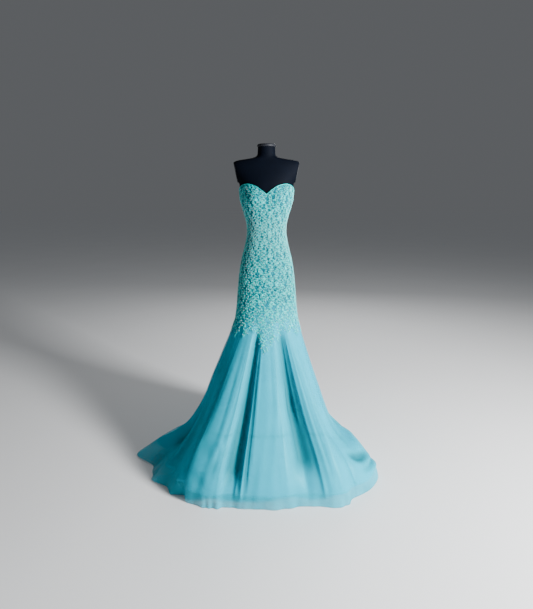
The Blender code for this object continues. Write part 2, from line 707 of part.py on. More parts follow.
def gown():
    for panel in PANELS:
        sheath_panel(panel)
    neckline_binding()
    for gore in GORES:
        skirt_panel("tulle_" + gore.name, gore, gore.splits, (0.0, HEM_LEVEL), 0.0, TULLE_WALL, TULLE)
        skirt_panel("satin_" + gore.name, gore, gore.satin_splits, (0.0, FLOUNCE_LEVEL), SATIN_DEPTH,
                    SATIN_WALL, SATIN)
        skirt_panel("flounce_" + gore.name, gore, gore.satin_splits, (FLOUNCE_LEVEL, SATIN_HEM_LEVEL),
                    SATIN_DEPTH, SATIN_WALL, SATIN)
        lace_border(gore)
    zip_strip()
    zip_slider_and_pull()


def main():
    for old in list(bpy.data.objects):
        bpy.data.objects.remove(old, do_unlink=True)
    gown()
    form_torso()
    neck_cap()
    stand()


main()
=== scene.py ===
import math
from collections import namedtuple

import bmesh
import bpy
import numpy as np
from bpy.props import FloatProperty, FloatVectorProperty, IntProperty, PointerProperty
from bpy.types import Operator, Panel, PropertyGroup
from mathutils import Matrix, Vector


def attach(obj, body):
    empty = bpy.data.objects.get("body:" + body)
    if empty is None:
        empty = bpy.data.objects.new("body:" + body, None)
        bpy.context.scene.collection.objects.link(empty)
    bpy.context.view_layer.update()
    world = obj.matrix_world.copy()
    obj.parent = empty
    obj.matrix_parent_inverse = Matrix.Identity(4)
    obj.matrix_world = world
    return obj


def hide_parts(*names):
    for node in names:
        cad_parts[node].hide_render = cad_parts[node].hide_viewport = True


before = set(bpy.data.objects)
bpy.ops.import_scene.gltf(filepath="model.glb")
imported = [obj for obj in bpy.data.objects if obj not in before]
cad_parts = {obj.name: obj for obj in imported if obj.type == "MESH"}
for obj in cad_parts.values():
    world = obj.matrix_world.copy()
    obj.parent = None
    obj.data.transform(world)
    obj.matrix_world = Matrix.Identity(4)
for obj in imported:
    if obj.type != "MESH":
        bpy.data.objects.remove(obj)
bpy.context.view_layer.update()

bl_info = {
    "name": "Mermaid gown on a dress form",
    "version": (1, 0, 0),
    "blender": (4, 5, 0),
    "location": "View3D > Sidebar > Gown",
    "description": "Dresses the packed gown and form: lace, beads, satin, tulle, zip and stage",
    "category": "Object",
}

IMAGE_HEIGHT = 609
GOWN = "dress"

# Cloth thicknesses and clearances, in metres
SHEATH_THICK = 0.0018
TULLE_THICK = 0.0006
SATIN_THICK = 0.0010
SATIN_DEPTH = 0.0060
SATIN_TUCK = 0.0015
BORDER_LIFT = 0.0009
BORDER_THICK = 0.0005
SKIRT_TUCK = 0.0030
FORM_DEPTH = 0.0034
ZIP_TAPE_THICK = 0.0006
FLOOR_GAP = 0.0001

# Points closer than this are one
WELD = 1e-6

# Depth of a trough at which its cloth gets its darkest painted shade, and the name of that painted shade
# on a mesh. The painted shade darkens the skirt's troughs and the satin along the flounce seam, where
# shade falls; in the troughs it stands partly for the deeper tone of layered cloth too.
FULL_SHADE_DEPTH = 0.012
PAINTED_SHADE_ATTRIBUTE = "gather"

# Heights of the gown's seams, and the levels of the skirt where its layers end
KNEE_SEAM = 0.720
LEVEL_DROP = 0.100
FLOUNCE_LEVEL = 6.0
SATIN_HEM_LEVEL = 9.0
HEM_LEVEL = 10.0
ZIP_BOTTOM = 0.980

# Bare strip beside the zip that the lace leaves, in degrees to each side
ZIP_CLEAR = 4.5

# Bust cups of the sheath and of the form under it
CUP_HEIGHT = 1.372
CUP_APART = 0.066
CUP_FORWARD = 0.019
FORM_CUP_FORWARD = 0.010
CUP_WIDTH = 0.046
CUP_DROP = 0.046
CUP_FADE = 1.6

# Dress form
FORM_BOTTOM = 0.880
NECK_TOP = 1.652
PLATE_FOOT = Vector((0.1455, 0.0, 1.415))
PLATE_HEAD = Vector((0.1755, 0.0, 1.562))
PLATE_START = 1.43
PLATE_EDGE = 0.0015

# Level sections of the sheath up to the neckline, and of the form above it
Section = namedtuple("Section", "height half_width front back")
SECTIONS = (
    Section(0.690, 0.1760, 0.134, 0.136),
    Section(0.720, 0.1705, 0.128, 0.133),
    Section(0.766, 0.1640, 0.120, 0.131),
    Section(0.832, 0.1590, 0.113, 0.133),
    Section(0.898, 0.1540, 0.108, 0.134),
    Section(0.964, 0.1475, 0.104, 0.130),
    Section(1.030, 0.1370, 0.099, 0.118),
    Section(1.096, 0.1215, 0.093, 0.102),
    Section(1.140, 0.1115, 0.088, 0.091),
    Section(1.190, 0.1055, 0.085, 0.083),
    Section(1.228, 0.1080, 0.087, 0.081),
    Section(1.262, 0.1155, 0.091, 0.084),
    Section(1.294, 0.1250, 0.096, 0.089),
    Section(1.328, 0.1355, 0.102, 0.095),
    Section(1.361, 0.1445, 0.106, 0.099),
    Section(1.400, 0.1490, 0.105, 0.102),
    Section(1.445, 0.1520, 0.098, 0.104),
    Section(1.480, 0.1720, 0.088, 0.104),
    Section(1.520, 0.1920, 0.074, 0.098),
    Section(1.550, 0.1980, 0.063, 0.086),
    Section(1.568, 0.1860, 0.056, 0.071),
    Section(1.580, 0.1500, 0.052, 0.062),
    Section(1.588, 0.0950, 0.051, 0.058),
    Section(1.598, 0.0620, 0.050, 0.056),
    Section(1.612, 0.0530, 0.050, 0.055),
    Section(NECK_TOP, 0.0510, 0.048, 0.053),
)

# Top edge of the sheath: angle in degrees from the front centre, the same on both sides
Edge = namedtuple("Edge", "angle height")
NECKLINE = (
    Edge(0, 1.389),
    Edge(9, 1.4085),
    Edge(18, 1.4260),
    Edge(31, 1.4400),
    Edge(44, 1.4450),
    Edge(58, 1.4405),
    Edge(74, 1.4275),
    Edge(90, 1.4110),
    Edge(120, 1.3960),
    Edge(150, 1.3830),
    Edge(180, 1.3750),
)

# Points of the lace that hang over the skirt: angle of each point, drop in levels, half width in degrees
Tongue = namedtuple("Tongue", "angle drop half_width")
TONGUES = (
    Tongue(-160, 0.95, 11),
    Tongue(-138, 0.70, 10),
    Tongue(-116, 1.05, 11),
    Tongue(-96, 0.75, 9),
    Tongue(-77, 1.25, 10),
    Tongue(-57, 0.95, 10),
    Tongue(-36, 0.85, 9),
    Tongue(-19, 0.60, 8),
    Tongue(0, 1.62, 17),
    Tongue(16, 1.05, 9),
    Tongue(36, 0.55, 9),
    Tongue(56, 0.80, 9),
    Tongue(76, 0.62, 9),
    Tongue(96, 0.90, 10),
    Tongue(117, 0.75, 11),
    Tongue(139, 1.00, 10),
    Tongue(160, 0.72, 10),
    Tongue(180, 1.20, 11),
)
TONGUE_ROOT = 0.30
TONGUE_TAPER = 0.8

# How far the leaves stay under the neckline, and may pass the pointed edge
LACE_TOP_MARGIN = 0.005
LACE_END_MARGIN = 0.004

# Side views of the skirt from the knee seam to the hem: the share of the way out, and the height. A
# tuck is a trough of the bell, which comes back out to the hem.
Level = namedtuple("Level", "bell_out bell_up tuck_out tuck_up side_out side_up mound_out mound_up"
                   " train_out train_up")
LEVELS = (
    Level(0.00, 0.720, 0.000, 0.720, 0.000, 0.7200, 0.000, 0.7200, 0.000, 0.7200),
    Level(0.12, 0.630, 0.085, 0.630, 0.060, 0.6400, 0.090, 0.6100, 0.030, 0.6300),
    Level(0.24, 0.545, 0.175, 0.545, 0.120, 0.5650, 0.190, 0.5000, 0.065, 0.5400),
    Level(0.36, 0.465, 0.275, 0.465, 0.180, 0.4900, 0.290, 0.3850, 0.105, 0.4450),
    Level(0.48, 0.388, 0.385, 0.388, 0.245, 0.4100, 0.385, 0.2800, 0.150, 0.3500),
    Level(0.60, 0.315, 0.500, 0.315, 0.310, 0.3200, 0.470, 0.2050, 0.210, 0.2500),
    Level(0.70, 0.262, 0.600, 0.262, 0.385, 0.2350, 0.600, 0.1560, 0.290, 0.1600),
    Level(0.83, 0.195, 0.735, 0.195, 0.480, 0.1650, 0.770, 0.1320, 0.410, 0.0850),
    Level(0.94, 0.122, 0.865, 0.122, 0.620, 0.1100, 0.900, 0.0900, 0.580, 0.0420),
    Level(1.00, 0.052, 0.975, 0.052, 0.800, 0.0600, 0.980, 0.0380, 0.790, 0.0190),
    Level(1.00, 0.000, 1.000, 0.000, 1.000, 0.0012, 1.000, 0.0012, 1.000, 0.0012),
)

# Folds of the skirt, ridges and troughs in turn, from the back centre round by the left of the front
# view: the angle at the knee seam, the place of the hem on the floor, and the side view it takes, or
# the equal mix of side views
Fold = namedtuple("Fold", "knee_angle hem_x hem_y shape")
FOLDS = (
    Fold(-180, 0.000, 0.950, "train"),
    Fold(-171, -0.080, 0.925, "train"),
    Fold(-162, -0.160, 0.920, "train"),
    Fold(-153, -0.225, 0.865, "train"),
    Fold(-145, -0.298, 0.825, "train"),
    Fold(-136, -0.335, 0.715, "train"),
    Fold(-128, -0.388, 0.605, "train"),
    Fold(-121, -0.385, 0.480, "train+train+side"),
    Fold(-114, -0.420, 0.370, "train+side"),
    Fold(-108, -0.430, 0.265, "train+side+side"),
    Fold(-101, -0.560, 0.165, "side"),
    Fold(-94, -0.640, 0.050, "side"),
    Fold(-87, -0.690, -0.070, "side"),
    Fold(-79, -0.580, -0.180, "side"),
    Fold(-70, -0.555, -0.290, "side+side+bell"),
    Fold(-61, -0.470, -0.345, "side+bell"),
    Fold(-53, -0.440, -0.400, "side+bell+bell"),
    Fold(-46, -0.375, -0.405, "bell"),
    Fold(-38, -0.364, -0.448, "bell"),
    Fold(-31, -0.312, -0.474, "bell"),
    Fold(-26, -0.262, -0.492, "bell"),
    Fold(-21.5, -0.222, -0.494, "bell"),
    Fold(-17.5, -0.192, -0.486, "bell+tuck"),
    Fold(-13.5, -0.158, -0.488, "tuck"),
    Fold(-9.5, -0.122, -0.498, "bell+tuck"),
    Fold(-5.5, -0.085, -0.496, "bell"),
    Fold(0, -0.030, -0.502, "bell"),
    Fold(6, 0.035, -0.500, "bell"),
    Fold(12, 0.095, -0.494, "bell"),
    Fold(17, 0.145, -0.484, "bell+tuck"),
    Fold(22, 0.190, -0.476, "tuck"),
    Fold(27.5, 0.238, -0.480, "bell+tuck"),
    Fold(34, 0.290, -0.486, "bell"),
    Fold(43, 0.352, -0.474, "bell"),
    Fold(52, 0.410, -0.415, "bell+mound"),
    Fold(62, 0.482, -0.372, "bell+mound+mound"),
    Fold(72, 0.549, -0.240, "mound"),
    Fold(82, 0.522, -0.130, "mound"),
    Fold(91, 0.515, -0.020, "mound+side"),
    Fold(100, 0.435, 0.085, "side"),
    Fold(108, 0.418, 0.200, "side+side+train"),
    Fold(116, 0.375, 0.300, "side+train"),
    Fold(124, 0.388, 0.420, "side+train+train"),
    Fold(132, 0.350, 0.535, "train"),
    Fold(140, 0.355, 0.660, "train"),
    Fold(149, 0.290, 0.750, "train"),
    Fold(157, 0.238, 0.862, "train"),
    Fold(166, 0.155, 0.890, "train"),
    Fold(173, 0.080, 0.942, "train"),
)
FOLD_COUNT = len(FOLDS)

# Levels over which a crease comes and goes and all relief starts, and a crease's width at the knee as a
# share of its width at the hem
CREASE_LEAD = 1.4
CREASE_FADE = 1.2
RELIEF_LEAD = 1.2
CREASE_TOP_SHARE = 0.45

# Soft creases that run down the skirt: place in the fold table at its start and at its end, half width
# in folds, how far the crease stands out (in, if negative), and the levels where it starts and ends
Crease = namedtuple("Crease", "top_place end_place half_width rise start end")
CREASES = (
    Crease(1.5, 1.6, 0.30, 0.006, 2.0, 9.5),
    Crease(3.4, 3.2, 0.26, -0.005, 1.0, 8.0),
    Crease(5.5, 5.7, 0.32, 0.007, 2.5, 9.8),
    Crease(7.5, 7.3, 0.22, -0.005, 1.2, 9.0),
    Crease(9.6, 9.8, 0.20, 0.006, 3.0, 9.6),
    Crease(11.4, 11.2, 0.18, -0.005, 2.0, 9.0),
    Crease(12.0, 12.0, 0.12, 0.006, 5.0, 9.9),
    Crease(12.6, 12.8, 0.16, -0.007, 3.5, 9.4),
    Crease(13.5, 13.4, 0.15, 0.006, 1.5, 9.6),
    Crease(14.4, 14.5, 0.18, -0.006, 1.0, 9.0),
    Crease(15.5, 15.3, 0.15, 0.005, 0.8, 9.4),
    Crease(16.6, 16.8, 0.20, -0.007, 0.8, 9.0),
    Crease(17.6, 17.8, 0.14, 0.004, 0.4, 9.4),
    Crease(19.2, 19.4, 0.22, -0.0016, 2.0, 6.5),
    Crease(20.6, 20.2, 0.16, 0.0015, 1.0, 5.0),
    Crease(21.7, 21.5, 0.22, 0.0030, 0.3, 9.0),
    Crease(22.8, 22.8, 1.20, -0.0175, -0.8, 8.8),
    Crease(23.3, 23.5, 0.14, 0.0028, 4.5, 9.8),
    Crease(24.1, 24.2, 0.15, 0.0058, 0.6, 9.6),
    Crease(24.7, 24.8, 0.12, -0.0026, 2.5, 9.0),
    Crease(25.2, 25.3, 0.12, 0.0016, 1.0, 8.0),
    Crease(26.9, 27.1, 0.16, -0.0012, 0.2, 4.5),
    Crease(27.7, 27.5, 0.20, 0.0014, 3.0, 9.0),
    Crease(28.6, 28.8, 0.14, 0.0016, 0.2, 7.0),
    Crease(30.0, 30.1, 1.10, -0.0170, -0.8, 8.4),
    Crease(29.4, 29.3, 0.12, 0.0024, 0.4, 4.5),
    Crease(30.4, 30.6, 0.12, 0.0030, 0.4, 6.0),
    Crease(31.3, 31.5, 0.16, 0.0050, 0.2, 9.6),
    Crease(32.1, 32.3, 0.14, -0.0030, 0.5, 8.5),
    Crease(32.7, 32.8, 0.14, 0.0026, 1.5, 9.4),
    Crease(33.4, 33.6, 0.16, -0.0030, 0.8, 7.5),
    Crease(34.3, 34.4, 0.16, 0.0036, 2.0, 9.0),
    Crease(35.3, 35.2, 0.20, -0.005, 1.0, 7.0),
    Crease(36.4, 36.6, 0.18, 0.005, 2.0, 6.6),
    Crease(37.5, 37.6, 0.22, -0.006, 3.0, 9.6),
    Crease(38.6, 38.5, 0.18, 0.006, 2.0, 9.4),
    Crease(40.4, 40.2, 0.22, -0.006, 1.0, 9.5),
    Crease(42.5, 42.7, 0.28, 0.006, 2.0, 9.0),
    Crease(44.4, 44.2, 0.26, -0.006, 1.4, 9.4),
    Crease(46.5, 46.6, 0.30, 0.006, 3.0, 9.7),
    Crease(48.3, 48.2, 0.26, -0.005, 1.2, 8.4),
)

# Dents and swells across the skirt, where the train is heaped: centre, half sizes, slant in levels
# for each fold, and rise
Dent = namedtuple("Dent", "place level half_place half_level slant rise")
DENTS = (
    Dent(35.2, 7.50, 0.70, 0.28, 0.40, -0.019),
    Dent(36.1, 8.50, 0.85, 0.16, 0.25, -0.012),
    Dent(36.2, 8.85, 0.90, 0.14, 0.20, 0.008),
    Dent(36.6, 6.90, 0.90, 0.45, 0.10, 0.010),
    Dent(38.2, 8.20, 0.80, 0.35, -0.30, -0.010),
    Dent(12.0, 8.70, 0.60, 0.50, 0.10, 0.010),
    Dent(13.2, 8.30, 0.50, 0.35, 0.40, -0.009),
    Dent(10.6, 8.60, 0.60, 0.40, -0.40, -0.010),
    Dent(18.7, 6.75, 0.70, 0.40, 0.20, -0.0034),
    Dent(19.9, 7.55, 0.60, 0.36, -0.15, -0.0036),
    Dent(18.9, 8.30, 0.70, 0.30, 0.20, -0.0034),
    Dent(21.0, 6.90, 0.50, 0.30, 0.10, -0.0026),
    Dent(20.2, 6.50, 0.40, 0.20, 0.20, 0.0040),
    Dent(29.9, 4.40, 0.40, 0.60, 0.00, -0.0070),
    Dent(5.4, 7.60, 1.20, 0.40, 0.20, -0.008),
    Dent(2.3, 8.50, 1.30, 0.35, -0.15, 0.008),
    Dent(43.6, 7.80, 1.20, 0.40, -0.20, -0.008),
    Dent(46.7, 8.40, 1.30, 0.35, 0.15, 0.008),
)

# Unevenness of the whole skirt, from the level where it starts, and the swell of its hem
CLOTH_RISE = 0.0010
CLOTH_START = 0.5
CLOTH_RUN = 3.0
HEM_START = 8.6
HEM_RISE = 0.0045

# Waves round the hem and the flounce, whose spacing drifts
Wave = namedtuple("Wave", "pitch sway sway_pitch")
HEM_SWELL = Wave(2.3, 1.4, 0.9)
HEM_CURL = Wave(5.3, 2.2, 1.9)
FLOUNCE_WAVE = Wave(23.0, 2.0, 3.7)

# Flounce: its gathers and the levels over which they come and go, the ridge of its seam and the half
# width of the painted shade along it, in levels, and the seam's cord
FLOUNCE_RISE = 0.0014
FLOUNCE_LEAD = 0.3
FLOUNCE_FLAT_LEVEL = 8.5
FLOUNCE_FADE = 2.0
SEAM_RISE = 0.0012
SEAM_HALF_LEVEL = 0.10
SEAM_SHADE = 0.075
CORD_RADIUS = 0.0026
CORD_DEPTH = SATIN_DEPTH - 0.0014

# Stretches of the hem that curl into small ruffles: centre and half width in folds, and height
Ruffle = namedtuple("Ruffle", "place half_place rise")
RUFFLES = (
    Ruffle(20.4, 1.5, 0.0030),
    Ruffle(33.4, 0.9, 0.0040),
    Ruffle(14.0, 1.4, 0.0070),
    Ruffle(39.5, 1.5, 0.0070),
    Ruffle(3.0, 1.8, 0.0080),
    Ruffle(45.5, 1.8, 0.0080),
)

# Drag lines of the sheath: place, half sizes in degrees and metres, and rise
Drag = namedtuple("Drag", "angle height half_angle half_height rise")
DRAGS = (
    Drag(62, 0.80, 3.5, 0.110, 0.0014),
    Drag(71, 0.86, 3.0, 0.130, -0.0014),
    Drag(-58, 0.78, 4.0, 0.100, 0.0013),
    Drag(-70, 0.90, 3.5, 0.120, -0.0013),
    Drag(28, 1.165, 20, 0.007, -0.0012),
    Drag(-24, 1.185, 22, 0.006, -0.0011),
    Drag(150, 1.150, 24, 0.007, -0.0014),
    Drag(-152, 1.175, 24, 0.007, -0.0014),
    Drag(118, 0.84, 4.0, 0.120, 0.0014),
    Drag(-121, 0.82, 4.0, 0.110, 0.0013),
)

# Gores of the skirt: the folds that their seams run down, and each layer's cut with its area
Cut = namedtuple("Cut", "width length area")
Gore = namedtuple("Gore", "name first last tulle satin flounce edge")
GORES = (
    Gore("back_left", 0, 9, Cut(0.93, 1.23, 0.426), Cut(0.40, 0.62, 0.157), Cut(0.77, 0.45, 0.176),
         Cut(0.195, 0.11, 0.0123)),
    Gore("left", 9, 17, Cut(0.95, 0.93, 0.414), Cut(0.53, 0.54, 0.167), Cut(0.81, 0.29, 0.165),
         Cut(0.145, 0.105, 0.0098)),
    Gore("front", 17, 34, Cut(0.88, 0.86, 0.537), Cut(0.79, 0.59, 0.280), Cut(0.87, 0.25, 0.202),
         Cut(0.28, 0.16, 0.0228)),
    Gore("right", 34, 41, Cut(0.83, 0.90, 0.353), Cut(0.56, 0.64, 0.174), Cut(0.78, 0.23, 0.132),
         Cut(0.15, 0.09, 0.0092)),
    Gore("back_right", 41, 49, Cut(0.87, 1.23, 0.385), Cut(0.36, 0.62, 0.142), Cut(0.72, 0.45, 0.159),
         Cut(0.175, 0.11, 0.0105)),
)

# Panels of the sheath, by the angles of their seams, and the flat sizes they are cut to
SheathPanel = namedtuple("SheathPanel", "name first last flat")
SHEATH_PANELS = (
    SheathPanel("back_left", -180, -90, (0.25, 0.68)),
    SheathPanel("front", -90, 90, (0.47, 0.73)),
    SheathPanel("back_right", 90, 180, (0.25, 0.68)),
)

# Divisions of the cloth
DEGREES_A_COLUMN = 2.0
SHEATH_ROWS = 120
TULLE_COLUMNS = 12
TULLE_ROWS = 11
SATIN_COLUMNS = 6
SATIN_ROWS = 8
BORDER_ROWS = 16
FORM_COLUMNS = 128
FORM_ROWS = 150


def smooth_through(places, values, at):
    """Read a smooth curve through the points of a table, which never swings past them."""
    places = np.asarray(places, float)
    values = np.asarray(values, float)
    steps = np.diff(places)
    rises = np.diff(values) / steps
    slopes = np.zeros_like(values)
    slopes[0] = rises[0]
    slopes[-1] = rises[-1]
    before, after = rises[:-1], rises[1:]
    same_way = before * after > 0
    weight = steps[:-1] + steps[1:]
    blended = np.zeros_like(before)
    first = (2 * steps[1:] + steps[:-1]) / (3 * weight)
    blended[same_way] = 1.0 / (
        first[same_way] / before[same_way] + (1 - first[same_way]) / after[same_way])
    slopes[1:-1] = blended
    at = np.clip(np.asarray(at, float), places[0], places[-1])
    cell = np.clip(np.searchsorted(places, at, side="right") - 1, 0, len(steps) - 1)
    width = steps[cell]
    share = (at - places[cell]) / width
    square, cube = share ** 2, share ** 3
    return ((2 * cube - 3 * square + 1) * values[cell]
            + (cube - 2 * square + share) * width * slopes[cell]
            + (3 * square - 2 * cube) * values[cell + 1]
            + (cube - square) * width * slopes[cell + 1])


def column_of(table, name):
    return [getattr(row, name) for row in table]


def ease(share):
    """A smooth step from 0 to 1."""
    share = np.clip(share, 0, 1)
    return share * share * (3 - 2 * share)


def body(angle, height, cup_forward=CUP_FORWARD):
    """Surface of the sheath, and of the form above it, at an angle in degrees and a height."""
    heights = column_of(SECTIONS, "height")
    half_width = smooth_through(heights, column_of(SECTIONS, "half_width"), height)
    front = smooth_through(heights, column_of(SECTIONS, "front"), height)
    back = smooth_through(heights, column_of(SECTIONS, "back"), height)
    turn = np.radians(angle)
    forward = np.cos(turn)
    x = half_width * np.sin(turn)
    y = -np.where(forward > 0, front, back) * forward
    across = (np.abs(x) - CUP_APART) / CUP_WIDTH
    up = (height - CUP_HEIGHT) / CUP_DROP
    cup = cup_forward * np.exp(-across ** 2 - up ** 2) * np.clip(forward * CUP_FADE, 0, 1)
    return np.stack([x, y - cup, height + 0 * x], axis=-1)


def form_body(angle, height):
    """Surface that the form lies under, whose bust is flatter than the boned cups."""
    return body(angle, height, FORM_CUP_FORWARD)


def neckline(angle):
    """Height of the sheath's top edge at an angle from the front centre."""
    folded = np.abs((np.asarray(angle, float) + 180) % 360 - 180)
    return smooth_through(column_of(NECKLINE, "angle"), column_of(NECKLINE, "height"), folded)


def folds_round(name, place):
    """Read one number of the fold table at a place round the hem, over the back centre too."""
    values = column_of(FOLDS, name)
    turn = 360.0 if name == "knee_angle" else 0.0
    lead = 2
    wrapped = ([value - turn for value in values[-lead:]] + values
               + [value + turn for value in values[:lead + 1]])
    return smooth_through(range(-lead, len(values) + lead + 1), wrapped, place)


def side_view(kind, place, level):
    """Read the side views at a place round the hem and a level down the skirt."""
    before = np.floor(place).astype(int)
    share = place - before
    mixes = [fold.shape.split("+") for fold in FOLDS]
    total = np.zeros_like(place)
    for shape in ("bell", "tuck", "side", "mound", "train"):
        view = smooth_through(range(len(LEVELS)), column_of(LEVELS, shape + kind), level)
        used = np.array([mix.count(shape) / len(mix) for mix in mixes])
        near = used[before % FOLD_COUNT] * (1 - share) + used[(before + 1) % FOLD_COUNT] * share
        total = total + view * near
    return total


def skirt(place, level):
    """Plain surface of the tulle at a place round the hem, in folds, and a level down from the knee."""
    place, level = np.broadcast_arrays(np.asarray(place, float), np.asarray(level, float))
    knee = body(folds_round("knee_angle", place), np.full(place.shape, KNEE_SEAM))
    inset = 1 - SKIRT_TUCK / np.hypot(knee[..., 0], knee[..., 1])
    out = side_view("_out", place, level)
    x = knee[..., 0] * inset * (1 - out) + folds_round("hem_x", place) * out
    y = knee[..., 1] * inset * (1 - out) + folds_round("hem_y", place) * out
    return np.stack([x, y, side_view("_up", place, level)], axis=-1)


def surface_frame(surface, along, down, turn=1.0):
    """Points of a surface with its outward normals."""
    step = 1e-3
    run = (surface(along + step, down) - surface(along - step, down)) / (2 * step)
    drop = (surface(along, down + step) - surface(along, down - step)) / (2 * step)
    out = np.cross(drop, run) * turn
    out = out / np.linalg.norm(out, axis=-1, keepdims=True)
    return surface(along, down), out


def round_distance(place, centre, whole):
    """Signed distance round a closed ring."""
    return (place - centre + whole / 2) % whole - whole / 2


def drifting(place, wave):
    """A wave round the hem whose spacing drifts."""
    return np.sin(place * wave.pitch + wave.sway * np.sin(place * wave.sway_pitch))


def uneven_cloth(place, level):
    """Slow unevenness of hung cloth, from -1 to 1, that never repeats down or across."""
    drift = 1.5 * np.sin(level * 0.7 + place)
    return np.sin(place * 4.1 + drift) * np.sin(place * 1.7 + level * 0.35)


def skirt_relief(place, level):
    """How far the creases, dents and hem ruffles of the skirt stand out of its plain surface."""
    rise = CLOTH_RISE * uneven_cloth(place, level) * ease((level - CLOTH_START) / CLOTH_RUN)
    widen = CREASE_TOP_SHARE + (1 - CREASE_TOP_SHARE) * level / HEM_LEVEL
    for crease in CREASES:
        along = np.clip((level - crease.start) / (crease.end - crease.start), 0, 1)
        middle = crease.top_place + (crease.end_place - crease.top_place) * along
        near = round_distance(place, middle, FOLD_COUNT) / crease.half_width
        ends = ease((level - crease.start) / CREASE_LEAD) * ease((crease.end - level) / CREASE_FADE)
        rise += crease.rise * widen * np.exp(-near ** 2) * ends
    for dent in DENTS:
        across = round_distance(place, dent.place, FOLD_COUNT)
        down = (level - dent.level - dent.slant * across) / dent.half_level
        rise += dent.rise * np.exp(-(across / dent.half_place) ** 2 - down ** 2)
    hem = ease((level - HEM_START) / (HEM_LEVEL - HEM_START))
    rise += HEM_RISE * hem * drifting(place, HEM_SWELL) * np.sin(place * 1.1 + 0.5)
    for ruffle in RUFFLES:
        near = round_distance(place, ruffle.place, FOLD_COUNT) / ruffle.half_place
        rise += ruffle.rise * hem * drifting(place, HEM_CURL) * np.exp(-near ** 2)
    return rise * ease(level / RELIEF_LEAD)


def hung_points(place, level, lift):
    """Points of a skirt layer: the plain surface moved out by its creases and by lift."""
    middle, out = surface_frame(skirt, place, level)
    return middle + out * (skirt_relief(place, level) + lift)[:, None]


def knee_place(angle):
    """Place in the fold table of an angle at the knee seam."""
    reads_a_fold = 20
    places = np.linspace(-1, FOLD_COUNT + 1, reads_a_fold * (FOLD_COUNT + 2) + 1)
    return np.interp(angle, folds_round("knee_angle", places), places)


def lace_edge(angle):
    """How many levels down the skirt the pointed edge of the lace reaches at an angle."""
    reach = np.full(np.shape(angle), TONGUE_ROOT)
    for tongue in TONGUES:
        away = np.abs(round_distance(angle, tongue.angle, 360)) / tongue.half_width
        taper = np.clip(1 - away, 0, 1) ** TONGUE_TAPER
        reach = np.maximum(reach, TONGUE_ROOT + (tongue.drop - TONGUE_ROOT) * taper)
    return reach


def sheath_relief(angle, height):
    """How far the drag lines of the sheath stand out."""
    rise = np.zeros(np.shape(angle))
    for drag in DRAGS:
        across = round_distance(angle, drag.angle, 360) / drag.half_angle
        rise += drag.rise * np.exp(-across ** 2 - ((height - drag.height) / drag.half_height) ** 2)
    return rise


def lace_ground(angle, up):
    """Surface that the lace lies on: the sheath above the knee seam, and the skirt below it."""
    angle, up = np.broadcast_arrays(np.asarray(angle, float), np.asarray(up, float))
    points = body(angle, KNEE_SEAM + np.maximum(up, 0))
    below = up < 0
    if below.any():
        wrapped = round_distance(angle[below], 0, 360)
        points[below] = skirt(knee_place(wrapped), -up[below] / LEVEL_DROP)
    return points


# Meshes

def sheet_mesh(name, columns, rows, points, width, length, gather=None):
    """A sheet of cloth from a flat grid, bent by points(across, down), with its cut as its UV map.

    The last function, of across and down, gives the painted shade that darkens the cloth's colour.
    """
    bm = bmesh.new()
    bmesh.ops.create_grid(bm, x_segments=columns, y_segments=rows, size=0.5)
    mesh = bpy.data.meshes.new(name)
    bm.to_mesh(mesh)
    bm.free()
    count = len(mesh.vertices)
    flat = np.empty(count * 3)
    mesh.vertices.foreach_get("co", flat)
    flat = flat.reshape(-1, 3)
    across, down = flat[:, 0] + 0.5, 0.5 - flat[:, 1]
    corners = np.empty(len(mesh.loops), int)
    mesh.loops.foreach_get("vertex_index", corners)
    cut = mesh.uv_layers.new(name="cut")
    cut.data.foreach_set("uv", np.stack([across * width, (1 - down) * length], axis=-1)[corners].ravel())
    mesh.vertices.foreach_set("co", points(across, down).ravel())
    # Painted shade, kept on the mesh for the skirt's materials
    if gather:
        mesh.attributes.new(PAINTED_SHADE_ATTRIBUTE, "FLOAT", "POINT").data.foreach_set("value", gather(across, down))
    mesh.update()
    mesh.shade_smooth()
    return mesh


def face_outwards(mesh, closed=False):
    """Turn a mesh's faces outwards, and close it first if it was bent round on itself."""
    bm = bmesh.new()
    bm.from_mesh(mesh)
    if closed:
        bmesh.ops.remove_doubles(bm, verts=bm.verts[:], dist=WELD)
        bmesh.ops.holes_fill(bm, edges=[edge for edge in bm.edges if edge.is_boundary], sides=0)
    bmesh.ops.recalc_face_normals(bm, faces=bm.faces[:])
    bm.to_mesh(mesh)
    bm.free()
    mesh.shade_smooth()


def add_piece(mesh, material, solid=None, thickness=0.0):
    """Link a mesh as a piece of the gown or form, in place of its solid, and thicken it inwards."""
    piece = bpy.data.objects.new(mesh.name, mesh)
    bpy.context.scene.collection.objects.link(piece)
    mesh.materials.append(bpy.data.materials[material])
    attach(piece, GOWN)
    if solid:
        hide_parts(solid)
    if thickness:
        layer = piece.modifiers.new("Thickness", "SOLIDIFY")
        layer.thickness = thickness
        layer.offset = -1.0
        layer.use_even_offset = False
        layer.use_rim = True
    return piece


def template(make):
    """Vertices and faces of a small shape that is repeated."""
    bm = bmesh.new()
    make(bm)
    bmesh.ops.triangulate(bm, faces=bm.faces[:])
    verts = np.array([vert.co[:] for vert in bm.verts])
    faces = np.array([[vert.index for vert in face.verts] for face in bm.faces])
    bm.free()
    return verts, faces


